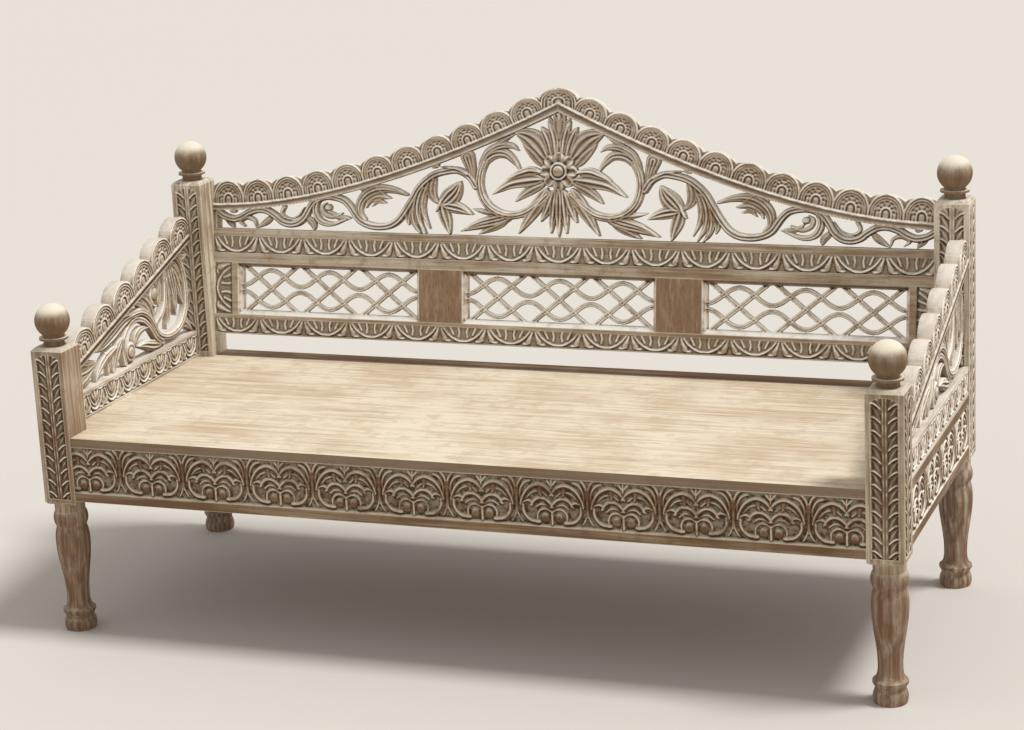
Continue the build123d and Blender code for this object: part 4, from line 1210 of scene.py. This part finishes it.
@dataclass
class BackPanel(Assembly):
    """The leaning back: carved rails, plain muntins, lattices, and the crest above."""

    lean: float = radians(7.9)
    front: float = 345.8 * MM
    gap_over_deck: float = 58 * MM
    thickness: float = 32.0
    half_span: float = 919.7
    lower_rail: float = 50.0
    opening: float = 131.0
    upper_rail: float = 85.0
    end_stile: float = 64.0
    muntin: float = 113.0
    cell: float = 1.62
    swags: int = 15
    swag_height: float = 42.0
    swag_depth: float = 5.0
    lower_field: Point = (3.0, 38.0)       # foot and height of the swags above the lower rail's edge
    upper_field: Point = (25.0, 42.0)      # the same above the upper rail's edge
    stile_field: Point = (3.0, 47.0)       # the carved field of a stile, from its outer edge
    period: float = 160.0
    wave_place: float = 0.41               # middle of a wave, as a share of half the opening
    wave_rise: float = 20.0
    bar: float = 11.5
    bar_crest: float = -9.0
    bar_edge: float = -15.0
    lattice_thickness: float = 20.0
    frame_width: float = 11.0
    bevel: float = 10.0

    @property
    def face(self) -> BoardFace:
        """The panel's front face, with its origin at the middle of its lower edge."""
        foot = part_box("deck_board_3")[1].z + self.gap_over_deck
        return BoardFace(Vector((0, self.front, foot)), RIGHT, Vector((0, sin(self.lean), cos(self.lean))))

    @property
    def crest_foot(self) -> float:
        """Height of the crest's foot up the slope, in mm."""
        return self.lower_rail + self.opening + self.upper_rail

    def swag(self, unit: Carving, pitch: float, height: float, foot: float = 0.0) -> None:
        """Cut one swag with four tongues under it, hung between drooping petals and low spindles.

        Args:
            unit: the carving to cut it into.
            pitch: length of the swag.
            height: height of the field.
            foot: where the field begins.
        """
        rise = height / self.swag_height
        for strokes, start in ((SWAG, 0.0), (SWAG_ENDS, pitch / 2)):
            for kind, width, top, edge, points in strokes:
                placed = [(start + x, foot + y * rise) for x, y in points]
                unit.stroke(placed, width, top, edge, kind, both=True)

    def rails(self) -> None:
        """Set the swags into the two rails and dress the plain timbers."""
        pitch = 2 * self.half_span / self.swags
        step = self.face.across * pitch * MM
        middle = self.swags // 2
        upper_foot = self.lower_rail + self.opening + self.upper_field[0]
        finish = self.finishes.back
        for name, foot, height in (("lower", *self.lower_field), ("upper", upper_foot, self.upper_field[1])):
            for half_name, start, count in (("left", -middle, middle + 1), ("right", 1, middle)):
                work = Carving((-pitch / 2, pitch / 2), (0, height), self.cell)
                self.swag(work, pitch, height)
                unit = board("swag", work, self.face.shifted(0, foot), self.swag_depth)
                title = f"festoon_{name}_{half_name}"
                self.repeater.lay(title, unit, count, step * start, step, finish, "panel_wood")
        dress(self.finishes.panel, "back_lower_rail", "back_upper_rail")
        dress(self.finishes.muntins, "back_muntin_left", "back_muntin_right")

    def stiles(self) -> None:
        """Make the end stiles, each with a swag set upright."""
        half = self.opening / 2
        low, high = self.stile_field
        for name, side in SIDES.items():
            work = Carving((-half, half), (0, self.end_stile), self.cell)
            self.swag(work, self.opening - 2, self.swag_height, low + 1)
            work.height = np.where((work.v < low) | (work.v > high), 0.0, work.height)
            corner = self.face.shifted(side * self.half_span, self.lower_rail + half).origin
            face = BoardFace(corner, self.face.up * side, self.face.across * -side)
            piece = board(f"stile_carving_{name}", work, face, self.thickness)
            finish_piece(piece, self.finishes.back, f"back_stile_{name}")

    def lattice(self, width: float) -> tuple[Carving, Grid]:
        """Cut one lattice: crossed bars and two waves inside a bevelled frame.

        Args:
            width: width of the panel.

        Returns:
            The carving and the thickness at each place.
        """
        half = width / 2
        tall = self.opening / 2
        period = self.period
        work = Carving((-half, half), (-tall, tall), self.cell, ground=-24.0, pierced=True)
        lines = []
        for cross in range(-2, 3):
            for lean in (-1, 1):
                x, run = period * cross, lean * period / 2
                lines.append((0.8 if lean > 0 else 0.0, [(x - run, -tall), (x + run, tall)]))
        for sense in (-1, 1):
            places = np.arange(-period * 1.75, period * 1.76, period / 8)
            swing = [self.wave_rise * cos(2 * pi * x / period) for x in places]
            wave = [(x, sense * (tall * self.wave_place + rise)) for x, rise in zip(places, swing)]
            lines.append((0.4, wave))
        for rise, points in lines:
            crest = self.bar_crest + rise
            work.stroke(points, self.bar, crest, self.bar_edge, flute=0.75, moat=1.4, hollow=True)
        inward = np.minimum(half - np.abs(work.u), tall - np.abs(work.v))
        framed = inward < self.frame_width
        work.height = np.where(framed, -np.clip(inward - 1.0, 0, self.bevel), work.height)
        edge = np.minimum(work.outside, inward - self.frame_width)
        work.outside = np.where(inward < self.frame_width + 2, edge, work.outside)
        work.outside = np.maximum(work.outside, -inward)
        return work, np.where(framed, self.thickness, self.lattice_thickness)

    def lattices(self) -> None:
        """Make the three lattices."""
        width = (2 * self.half_span - 2 * self.end_stile - 2 * self.muntin) / 3
        middle = self.lower_rail + self.opening / 2
        for name, place in (("left", -1), ("middle", 0), ("right", 1)):
            face = self.face.shifted(place * (width + self.muntin), middle)
            work, thickness = self.lattice(width)
            piece = board(f"lattice_{name}", work, face, thickness)
            finish_piece(piece, self.finishes.back, f"back_lattice_{name}")

    def build(self) -> None:
        """Make the rails, the stiles and the lattices."""
        self.rails()
        self.stiles()
        self.lattices()


# Right half of the crest's vine, in mm from the panel's middle and lower edge: kind, width, height of the
# crest, number of strands, and points.
VINE = (
    # leaves under the loop
    (LEAF, 32, -2, 4, [(116, 318), (160, 305), (205, 294), (254, 276)]),
    (LEAF, 16, -2, 2, [(120, 322), (160, 322), (195, 326), (224, 332)]),
    (LEAF, 20, -3, 2, [(135, 302), (172, 287), (208, 270)]),
    # leaf that rises to the moulding, and one outside the loop
    (HEAD, 36, (-3, -1), 4, [(223, 400), (227, 428), (236, 457)]),
    (LEAF, 19, -3, 2, [(205, 415), (192, 455), (155, 490), (112, 516)]),
    # flower in the hollow of the arch
    (LEAF, 26, -3, 2, [(322, 408), (331, 385), (328, 360), (308, 338)]),
    (LEAF, 46, -2, 4, [(303, 340), (284, 357), (268, 374), (254, 398)]),
    (LEAF, 30, -1, 3, [(303, 338), (276, 335), (250, 329), (222, 317)]),
    (LEAF, 30, -1, 2, [(304, 342), (298, 318), (290, 295), (282, 268)]),
    (SPINDLE, 8, 0.5, 1, [(318, 322), (310, 336), (304, 352)]),
    # acanthus that falls from the arch
    (LEAF, 14, -4, 1, [(386, 348), (398, 328), (407, 306)]),
    (LEAF, 16, -3, 1, [(376, 354), (388, 328), (394, 305), (390, 286)]),
    (LEAF, 18, -2, 2, [(366, 366), (377, 338), (380, 310), (372, 284), (358, 266)]),
    (LEAF, 19, -1, 2, [(352, 382), (364, 354), (368, 325), (362, 296), (344, 266)]),
    (LEAF, 18, -2, 2, [(338, 392), (350, 364), (355, 338), (350, 312), (334, 278)]),
    # big curled leaf in the second loop
    (SPINDLE, 26, (-3, -1), 3, [
        (396, 362), (430, 372), (468, 374), (500, 362), (520, 340), (523, 315), (508, 298)
    ]),
    (LEAF, 16, -3, 2, [(440, 352), (470, 356), (496, 344), (506, 325)]),
    (LEAF, 10, -4, 1, [(452, 340), (474, 343), (490, 330)]),
    (LEAF, 14, -3, 2, [(455, 360), (480, 380), (520, 390), (550, 386)]),
    # spiral pod
    (SPINDLE, 17, -1, 2, [(560, 296), (600, 284), (630, 292), (643, 318), (634, 341), (610, 350)]),
    (LEAF, 12, -3, 2, [(570, 312), (596, 302), (618, 310), (624, 327), (610, 338)]),
    (LEAF, 14, -4, 2, [(548, 300), (580, 302), (606, 318)]),
    # hook and small curls of the end vine
    (TAIL, 9, -2, 1, [(728, 324), (735, 308), (726, 298), (708, 295), (688, 304), (672, 324)]),
    (SPINDLE, 11, -3, 1, [(838, 272), (850, 284), (832, 294), (812, 288), (806, 272)]),
    (LEAF, 16, -4, 2, [(762, 300), (780, 284), (806, 268)]),
    (LEAF, 18, -4, 2, [(890, 300), (880, 284), (868, 268)]),
    (LEAF, 18, -4, 2, [(668, 300), (650, 284), (646, 268)]),
    # main vine from the post to the rosette
    (EVEN, 18.0, 0.0, 2, [
        (918, 314), (905, 303), (888, 294), (866, 290), (846, 296), (824, 308), (800, 315), (776, 313),
        (752, 300), (735, 287), (713, 281), (691, 285), (673, 299), (660, 320), (646, 338), (622, 350),
        (597, 352), (567, 345), (549, 330), (536, 312), (524, 297), (504, 286), (476, 281), (446, 284),
        (424, 295), (408, 312), (394, 332), (380, 354), (365, 378), (345, 398), (322, 413), (294, 421),
        (262, 424), (232, 410), (214, 386)
    ]),
    (TAIL, 9, 0.5, 1, [(236, 416), (262, 428), (290, 432), (314, 432)]),
    # loop beside the rosette
    (LEAF, 26, -2, 3, [(199, 425), (188, 450), (165, 466), (136, 466), (114, 448), (97, 424)]),
    (LEAF, 22, (-1, -2), 3, [(203, 425), (186, 465), (155, 484), (122, 486), (103, 474)]),
    (EVEN, 20, 0.0, 3, [
        (30, 372), (58, 346), (90, 325), (129, 318), (165, 328), (192, 352), (204, 386), (202, 420),
        (190, 448)
    ]),
)
# Right half of the rosette's petals, in the same way.
PETALS = (
    (LEAF, 14, -4, 1, [(2, 505), (8, 538), (14, 568)]),
    (LEAF, 14, -4, 1, [(3, 505), (16, 532), (28, 560)]),
    (LEAF, 32, -1, 2, [(32, 384), (52, 350), (76, 315), (103, 274)]),
    (LEAF, 32, 0, 2, [(40, 408), (80, 404), (126, 394), (171, 368)]),
    (LEAF, 24, -2, 2, [(36, 398), (65, 385), (90, 370), (112, 351)]),
    (LEAF, 31, -2, 2, [(38, 440), (62, 468), (94, 493)]),
    (LEAF, 54, -1, 3, [(30, 455), (52, 487), (78, 508), (112, 519)]),
    (LEAF, 21, 1, 2, [(42, 424), (76, 427), (105, 418), (133, 406)]),
    (LEAF, 24, 0, 2, [(18, 462), (26, 495), (36, 517), (46, 533)]),
    (LEAF, 22, 1, 2, [(8, 465), (12, 500), (19, 526), (28, 547)]),
    (LEAF, 24, 0, 2, [(14, 380), (28, 340), (46, 304)]),
    (LEAF, 22, 1, 2, [(8, 382), (14, 330), (20, 276)]),
)


@dataclass
class Crest(Assembly):
    """The crest of the back: a scalloped moulding over a pierced vine, and the rosette in its middle."""

    panel: BackPanel
    end_rise: float = 62.0
    apex_rise: float = 326.0
    shoulder: float = 0.6
    scallops: float = 11.5
    end_cusp: float = 45.0
    apex_cusp: float = 31.0
    scallop_rise: float = 13.5
    apex_scallop_rise: float = 24.5
    apex_lift: float = 12.0                # from the rings of the apex scallop down to the moulding's top
    moulding_end: float = 16.0
    moulding_apex: float = 22.0
    moulding_proud: float = 3.0
    # painted shade on the moulding, taken off its wear
    moulding_shade: float = 0.14
    strip: float = 9.0
    fret_thickness: float = 24.0
    setback: float = 3.0
    moulding_tilt: float = 0.95            # about the cosine of the moulding's slope
    headroom: float = 36.0                 # from the apex of the moulding to the top of the grid
    places: int = 500                      # along the moulding's line
    stride: int = 4                        # places to a straight run, where the grid is measured
    beside: float = 70.0                   # how far to each side of a run the grid is measured
    edge_cell: float = 1.6
    fret_cell: float = 1.48
    vine_edge: float = -9.0
    petal_edge: float = -8.0
    rosette_rise: float = 161.0
    rosette_reach: float = 185.0
    lobe_ring: float = 31.0
    lobes: int = 8
    seats: tuple = (870, 787, 647, 594, 510, 320)      # where the vine is widened to meet the moulding
    seat_radius: float = 10.0
    seat_height: float = -5.0

    def line(self, below_end: float = 0.0, below_apex: float = 0.0) -> Grid:
        """Places along the moulding's top line from the post to the apex, or along a line below it.

        Args:
            below_end: distance below the top line beside the post.
            below_apex: distance below it at the apex.

        Returns:
            Distance from the middle and height up the slope, one row per place.
        """
        foot = self.panel.crest_foot
        t = np.linspace(0, 1, self.places)[:, None]
        end = foot + self.end_rise - below_end
        ends = np.array([(self.panel.half_span, end), (self.panel.half_span * self.shoulder, end)])
        apex = np.array([(0.0, foot + self.apex_rise - below_apex)])
        return ends[:1] * (1 - t) ** 2 + ends[1:] * 2 * t * (1 - t) + apex * t**2

    def edge(self, side: int) -> Carving:
        """Cut one half of the moulding and its scallops.

        Args:
            side: 1 for the right half and -1 for the left.

        Returns:
            The carving.
        """
        span, foot = self.panel.half_span, self.panel.crest_foot
        across = (-span, 0.0) if side < 0 else (0.0, span)
        upward = (foot, foot + self.apex_rise + self.headroom)
        work = Carving(across, upward, self.edge_cell, ground=-5.0, pierced=True)
        away = np.abs(work.u)
        top = self.line()
        line_top = height_along(top, away)
        line_low = height_along(self.line(self.moulding_end, self.moulding_apex), away)
        travelled = np.concatenate([[0], np.cumsum(np.hypot(*np.diff(top, axis=0).T))])
        pitch = travelled[-1] / self.scallops
        place, above = self._along(top, travelled, away, work.v, line_top)
        number = np.minimum(np.floor(place / pitch), int(self.scallops))
        across_each = place - (number + 0.5) * pitch
        cusp = self.end_cusp + (self.apex_cusp - self.end_cusp) * place / travelled[-1]
        bow = sweep(pitch / 2, self.scallop_rise)
        height = Medallion(pitch / 2).heights(across_each, above, cusp + self.scallop_rise)
        outside = np.hypot(across_each, above - cusp - self.scallop_rise + bow) - bow
        apex = top[-1, 1]
        slope = atan2(apex - top[-2, 1], top[-2, 0])
        half_chord = pitch / 2 * cos(slope) + self.apex_cusp * sin(slope)
        crown = apex - pitch / 2 * sin(slope) + self.apex_cusp * cos(slope) + self.apex_scallop_rise
        big = sweep(half_chord, self.apex_scallop_rise)
        centre = work.v - apex + self.apex_lift
        apex_height = Medallion(half_chord).heights(away, centre, crown - apex + self.apex_lift)
        at_apex = number >= int(self.scallops)
        height = np.where(at_apex, apex_height, height)
        outside = np.where(at_apex, np.hypot(away, work.v - crown + big) - big, outside)
        under = work.v < line_top
        share = (line_top - work.v) / (line_top - line_low)
        work.height = np.where(under, moulding(share, self.moulding_proud), height)
        # painted shade on the moulding
        work.stain_and_shade = np.where(under, self.moulding_shade, 0.0)
        strip = np.maximum(span - self.strip - away, work.v - line_top)
        work.outside = np.minimum(np.maximum(outside, (line_low - work.v) * self.moulding_tilt), strip)
        work.height = np.where((strip < 0) & (work.v < line_low), -1.0, work.height)
        return work

    def _along(
        self, top: Grid, travelled: Grid, away: Grid, rise: Grid, line_top: Grid
    ) -> tuple[Grid, Grid]:
        """Measure the grid against the moulding's top line.

        Args:
            top: places along the line.
            travelled: length of the line up to each place.
            away: distance from the middle at each place of the grid.
            rise: height up the slope at each place of the grid.
            line_top: height of the line at each place of the grid.

        Returns:
            How far along the line the nearest place is, and how far above the line the grid lies.
        """
        place = np.zeros_like(away)
        nearest = np.full(away.shape, np.inf)
        last = len(top) - 1
        for k in range(0, last, self.stride):
            a, b = top[k], top[min(k + self.stride, last)]
            run = b - a
            length = hypot(*run)
            columns = np.flatnonzero(np.abs(away[0] - (a[0] + b[0]) / 2) < self.beside)
            part = (slice(None), slice(columns[0], columns[-1] + 1))
            du, dv = away[part] - a[0], rise[part] - a[1]
            t = np.clip((du * run[0] + dv * run[1]) / length**2, 0, 1)
            off = np.hypot(du - t * run[0], dv - t * run[1])
            closer = off < nearest[part]
            nearest[part] = np.where(closer, off, nearest[part])
            place[part] = np.where(closer, travelled[k] + t * length, place[part])
        return place, np.where(rise > line_top, nearest, -nearest)

    def _trimmed(self, work: Carving) -> Grid:
        """Cut the carving off under the moulding, and return the height of the cut."""
        head = height_along(self.line(self.moulding_end - 1, self.moulding_apex - 1), np.abs(work.u))
        work.outside = np.maximum(work.outside, (work.v - head) * self.moulding_tilt)
        return head

    def fret(self, side: int) -> Carving:
        """Cut the vine of one half of the crest.

        Args:
            side: 1 for the right half and -1 for the left.

        Returns:
            The carving.
        """
        span, foot = self.panel.half_span, self.panel.crest_foot
        across = (0.0, span - self.strip) if side > 0 else (self.strip - span, 0.0)
        rise = (foot, foot + self.apex_rise - self.moulding_apex)
        work = Carving(across, rise, self.fret_cell, self.vine_edge, True, side)
        work.grow(VINE, self.vine_edge)
        work.dome((607, 325), (9, 9), -1.0, self.vine_edge)
        below = work.v - self._trimmed(work)
        for seat in self.seats:
            near = np.hypot(np.abs(work.u) - seat, below) - self.seat_radius
            inside = (near < 0) & (below < 0)
            widened = np.minimum(work.outside, np.maximum(near, below))
            work.outside = np.where(inside, widened, work.outside)
            work.height = np.where(inside & (work.height <= work.ground), self.seat_height, work.height)
        return work

    def rosette(self) -> Carving:
        """Cut the rosette: a boss in a lobed ring, with petals all round.

        Returns:
            The carving.
        """
        foot = self.panel.crest_foot
        centre = foot + self.rosette_rise
        edge = self.petal_edge
        across, rise = (-self.rosette_reach, self.rosette_reach), (foot, foot + self.apex_rise - 20)
        work = Carving(across, rise, self.fret_cell, edge, True)
        work.stroke([(0, 505), (0, 540), (0, 574)], 16, -3, edge, LEAF)
        work.grow(PETALS, edge, both=True)
        work.stroke([(0, 385), (0, 330), (0, 268)], 22, 2, edge, LEAF, 2)
        turns = [radians(360 * k / self.lobes) for k in range(self.lobes)]
        for turn in turns:
            middle = (self.lobe_ring * cos(turn), centre + self.lobe_ring * sin(turn))
            work.dome(middle, (16, 16), 3.0, -5.0)
        for turn in turns:
            work.groove([(r * cos(turn), centre + r * sin(turn)) for r in (22, 30, 38)], 17, 5.5)
        work.dome((0, centre), (22, 22), 5.0, 1.0)
        work.groove(arc((0, centre), 15, 0, 360), 5, 4.5)
        work.dome((0, centre), (13, 13), 6.5, 1.0)
        self._trimmed(work)
        return work

    def build(self) -> None:
        """Make the moulding, the vines and the rosette."""
        finish = self.finishes.back
        for name, side in SIDES.items():
            edge = self.edge(side)
            piece = board(f"crest_scallops_{name}", edge, self.panel.face, self.panel.thickness, 0.6)
            finish_piece(piece, finish, f"crest_edge_{name}")
        face = self.panel.face.shifted(0, 0, -self.setback)
        for name, side in SIDES.items():
            piece = board(f"crest_vine_{name}", self.fret(side), face, self.fret_thickness, 0.5)
            finish_piece(piece, finish, f"crest_fret_{name}")
        piece = board("crest_flower", self.rosette(), face, self.fret_thickness - 1, 0.4)
        finish_piece(piece, finish, "crest_rosette")


# ------------------------------------------------------------------------------------------ side panels
# The leaves and stems of a side fret, in mm back from the panel's middle and up from the floor: kind, width,
# height of the crest, number of strands, and points.
SIDE_LEAVES = (
    # fronds beside the front post
    (LEAF, 20, -3, 2, [(-165, 590), (-205, 592), (-250, 600), (-322, 596)]),
    (LEAF, 22, -2, 2, [(-170, 586), (-210, 578), (-255, 578), (-322, 568)]),
    (LEAF, 24, -2, 2, [(-175, 580), (-215, 562), (-250, 552), (-300, 543)]),
    (LEAF, 24, -1, 2, [(-60, 600), (-95, 592), (-130, 580), (-160, 562), (-175, 543)]),
    (LEAF, 34, -1, 3, [(-36, 612), (-58, 590), (-78, 565), (-92, 541)]),
    (LEAF, 18, -3, 1, [(-120, 600), (-108, 570), (-112, 541)]),
    # long leaf under the moulding
    (LEAF, 44, 0, 4, [(25, 655), (-25, 652), (-80, 635), (-130, 620), (-175, 614)]),
    (LEAF, 34, -2, 2, [(130, 618), (118, 655), (85, 685), (35, 700)]),
    (LEAF, 14, -3, 1, [(118, 640), (80, 665), (40, 682), (-5, 690)]),
    # hooked stem round a pod, with leaves inside it
    (EVEN, 17, -1, 2, [
        (-28, 548), (-34, 575), (-28, 605), (0, 630), (38, 640), (78, 628), (108, 604), (135, 572),
        (165, 552)
    ]),
    (LEAF, 24, -2, 2, [(20, 580), (38, 600), (65, 609), (98, 606)]),
    (LEAF, 30, -1, 3, [(155, 548), (115, 556), (75, 568), (35, 574)]),
    # stem that swings up into the great loop
    (EVEN, 21, 0.0, 3, [
        (0, 655), (35, 656), (70, 652), (104, 634), (128, 606), (148, 578), (182, 562), (224, 558),
        (266, 570), (296, 602), (306, 646), (301, 692), (286, 728), (262, 750), (232, 762), (206, 752)
    ]),
    (EVEN, 17, 0, 2, [(212, 752), (200, 722), (196, 685), (190, 650), (170, 622), (140, 606)]),
    # bud and leaves outside the loop
    (SPINDLE, 12, -1, 1, [(150, 648), (128, 655), (116, 678), (128, 702), (152, 712)]),
    (LEAF, 22, -2, 2, [(190, 742), (168, 722), (150, 700)]),
    (LEAF, 20, -3, 1, [(158, 646), (168, 680), (176, 712)]),
    # acanthus inside the loop
    (LEAF, 44, -1, 4, [(222, 742), (232, 705), (242, 660), (246, 600)]),
    (LEAF, 34, -2, 3, [(226, 735), (252, 700), (270, 660), (284, 620)]),
    (LEAF, 24, -3, 2, [(232, 738), (258, 722), (276, 700), (290, 672)]),
    (LEAF, 26, -2, 2, [(210, 700), (212, 650), (206, 610), (190, 578)]),
    # leaves that fill the corners
    (LEAF, 26, -3, 2, [(262, 562), (288, 572), (306, 560), (324, 541)]),
    (LEAF, 24, -3, 1, [(296, 600), (312, 618), (325, 650)]),
    (LEAF, 26, -3, 2, [(280, 740), (298, 732), (325, 740)]),
    (LEAF, 20, -3, 2, [(250, 760), (285, 765), (325, 780)]),
)


@dataclass
class SidePanels(Assembly):
    """The two side panels: a carved band, a pierced fret and a scalloped moulding that rises to the back."""

    band_height: float = 67.0
    border: float = 7.0
    band_depth: float = 5.0
    band_cell: float = 1.5
    unit_pitch: float = 81.0
    front_rise: float = 123.0
    back_rise: float = 318.0
    moulding_height: float = 16.0
    moulding_proud: float = 3.0
    # painted shade on the moulding, taken off its wear
    moulding_shade: float = 0.3
    footroom: float = 20.0                 # from the foot of the grid to the moulding's top at the front
    headroom: float = 75.0                 # from the moulding's top at the back to the top of the grid
    pitch: float = 107.0
    cusp: float = 36.0
    rise: float = 25.0
    thickness: float = 38.0
    fret_thickness: float = 24.0
    fret_edge: float = -8.0
    cell: float = 1.6

    def __post_init__(self) -> None:
        """Read the places of the posts and the deck from the frame."""
        self.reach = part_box("post_back_left")[0].y / MM
        self.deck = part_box("deck_board_3")[1].z / MM
        self.slope = (self.back_rise - self.front_rise) / (2 * self.reach)

    def head(self, back: Grid | float) -> Grid | float:
        """Height of the moulding's top line, at each distance back from the middle."""
        return self.deck + self.front_rise + self.slope * (back + self.reach)

    def edge(self, side: int) -> Carving:
        """Cut the moulding and its scallops.

        Args:
            side: 1 for the right panel and -1 for the left.

        Returns:
            The carving.
        """
        rows = self.deck + self.front_rise - self.footroom, self.deck + self.back_rise + self.headroom
        work = Carving((-self.reach, self.reach), rows, self.cell, -5.0, True, -side)
        back = work.u * work.sense
        lean = hypot(1, self.slope)
        above = (work.v - self.head(back)) / lean
        along = ((self.reach - back) - (work.v - self.head(self.reach)) * self.slope) / lean
        along = along + self.cusp * self.slope / lean
        across = along - (np.floor(along / self.pitch) + 0.5) * self.pitch
        bow = sweep(self.pitch / 2, self.rise)
        height = Medallion(self.pitch / 2).heights(across, above, self.cusp + self.rise)
        band = moulding(-above * lean / self.moulding_height, self.moulding_proud)
        work.height = np.where(above < 0, band, height)
        # painted shade on the moulding
        work.stain_and_shade = np.where(above < 0, self.moulding_shade, 0.0)
        scallop = np.hypot(across, above - self.cusp - self.rise + bow) - bow
        work.outside = np.maximum(scallop, -above - self.moulding_height / lean)
        return work

    def fret(self, side: int) -> Carving:
        """Cut the pierced leaves of one panel.

        Args:
            side: 1 for the right panel and -1 for the left.

        Returns:
            The carving.
        """
        edge = self.fret_edge
        rows = self.deck + self.band_height, self.deck + self.back_rise
        work = Carving((-self.reach, self.reach), rows, self.cell, edge, True, -side)
        work.grow(SIDE_LEAVES, edge)
        work.dome((142, 680), (15, 17), -1.0, edge)
        work.dome((0, 569), (26, 26), 0.0, edge)
        work.groove(arc((0, 569), 15, 0, 360), 5, 3.0)
        limit = (work.v - self.head(work.u * work.sense) + self.moulding_height - 1) / hypot(1, self.slope)
        work.outside = np.maximum(work.outside, limit)
        return work

    def band(self, pitch: float) -> Carving:
        """Cut one hanging group of tongues for the band.

        Args:
            pitch: length of the unit.

        Returns:
            The carving.
        """
        half = pitch / 2
        unit = Carving((-half, half), (0, self.band_height - 2 * self.border), self.band_cell)
        unit.stroke([(0, 22), (0, 36), (0, 51)], 10, -0.4, -3.9, LEAF)
        for kind, width, top, edge, flutes, points in (
            (EVEN, 6, 0, -3.6, 1, [(0, 4), (14, 9), (26, 22), (34, 42)]),
            (EVEN, 4, -1, -4.0, 1, [(0, 13), (10, 18), (19, 30), (25, 45)]),
            (LEAF, 8, -0.8, -3.9, 1, [(6, 26), (11, 38), (16, 51)]),
            (LEAF, 12, 0, -3.8, 2, [(half, 4), (half, 22), (half, 44)]),
            (LEAF, 10, -0.4, -3.8, 1, [(half - 2, 4), (half - 12, 14), (half - 17, 30)]),
            (EVEN, 6, -0.6, -3.8, 1, [(half, 50), (half - 12, 47), (half - 24, 50)]),
            (SPINDLE, 6, 0, -3.0, 1, [(half - 4, 3), (half - 22, 3)]),
        ):
            unit.stroke(points, width, top, edge, kind, flutes, both=True)
        return unit

    def build(self) -> None:
        """Make both panels."""
        number = round(2 * self.reach / self.unit_pitch)
        pitch = 2 * self.reach / number
        finish = self.finishes.side_fret
        for name, side in SIDES.items():
            low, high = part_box(f"side_band_{name}")
            inner = BoardFace(Vector((low.x if side > 0 else high.x, 0, 0)), Vector((0, -side, 0)), UP)
            piece = board(f"side_scallops_{name}", self.edge(side), inner, self.thickness, 1.0)
            finish_piece(piece, finish, f"side_edge_{name}")
            deeper = inner.shifted(0, 0, (self.fret_thickness - self.thickness) / 2)
            piece = board(f"side_leaves_{name}", self.fret(side), deeper, self.fret_thickness, 1.0)
            finish_piece(piece, finish, f"side_fret_{name}")
            outer = BoardFace(inner.shifted(0, 0, -self.thickness).origin, -inner.across, UP)
            for where, face in (("inner", inner), ("outer", outer)):
                foot = face.shifted(0, self.deck + self.border)
                unit = board("band_unit", self.band(pitch), foot, self.band_depth)
                step = face.across * pitch * MM
                first = step * -(number - 1) / 2
                self.repeater.lay(f"band_{name}_{where}", unit, number, first, step, finish, "panel_wood")
        dress(self.finishes.bands, "side_band_left", "side_band_right")


# ------------------------------------------------------------------------------------------ studio
@dataclass
class Studio:
    """Plain floor, soft light and the camera."""

    eye: tuple = (2.008, -5.256, 2.092)
    yaw: float = radians(-20.79)
    pitch: float = radians(-15.01)
    roll: float = radians(-2.79)
    lens: float = 89.5
    floor_reach: float = 300.0
    floor_tone: Tone = (214, 208, 200)
    key_strength: float = 2.28
    key_spread: float = radians(14)
    key_side: tuple = (0.45, 0.08, 1.0)    # where the key light stands, seen from the bed
    fill: float = 0.55
    fill_colour: tuple = (1.0, 0.98, 0.95, 1.0)

    def camera(self) -> None:
        """Set the camera in front of the bed, towards its right end and above it."""
        ahead = Vector((sin(self.yaw) * cos(self.pitch), cos(self.yaw) * cos(self.pitch), sin(self.pitch)))
        level = Vector((cos(self.yaw), -sin(self.yaw), 0))
        upright = level.cross(ahead)
        right = level * cos(self.roll) + upright * sin(self.roll)
        top = upright * cos(self.roll) - level * sin(self.roll)
        data = bpy.data.cameras.new("camera")
        data.lens = self.lens
        made = bpy.data.objects.new("camera", data)
        made.matrix_world = Matrix.Translation(self.eye) @ Matrix((right, top, -ahead)).transposed().to_4x4()
        bpy.context.scene.collection.objects.link(made)
        bpy.context.scene.camera = made

    def floor(self) -> None:
        """Lay a wide plain floor."""
        size = self.floor_reach
        mesh = bpy.data.meshes.new("floor")
        corners = [(-size, -size, 0), (size, -size, 0), (size, size, 0), (-size, size, 0)]
        mesh.from_pydata(corners, [], [(0, 1, 2, 3)])
        made = bpy.data.objects.new("floor", mesh)
        bpy.context.scene.collection.objects.link(made)
        shader = Shader("plain_floor")
        shader.feed(shader.surface, {"Base Color": self.floor_tone, "Roughness": 0.9})
        mesh.materials.append(shader.material)

    def lights(self) -> None:
        """Hang a soft high light over the right-hand end, and fill from all round."""
        sun = bpy.data.lights.new("key", "SUN")
        sun.energy = self.key_strength
        sun.angle = self.key_spread
        made = bpy.data.objects.new("key", sun)
        made.rotation_euler = Vector(self.key_side).to_track_quat("Z", "Y").to_euler()
        bpy.context.scene.collection.objects.link(made)
        world = bpy.data.worlds.new("studio")
        bpy.context.scene.world = world
        world.use_nodes = True
        background = world.node_tree.nodes["Background"]
        background.inputs["Color"].default_value = self.fill_colour
        background.inputs["Strength"].default_value = self.fill

    def build(self) -> None:
        """Set up the view, the floor and the light."""
        bpy.context.scene.view_settings.view_transform = "Standard"
        self.camera()
        self.floor()
        self.lights()


def main() -> None:
    """Build the daybed's looks in order."""
    logging.basicConfig(level=logging.INFO, format="%(name)s %(message)s")
    given = Finishes(), Repeater()
    back = BackPanel(*given)
    woodwork = (Deck(*given), Posts(*given), Apron(*given), back, Crest(*given, back), SidePanels(*given))
    for part in (*woodwork, Studio()):
        part.build()


if __name__ == "__main__":
    main()
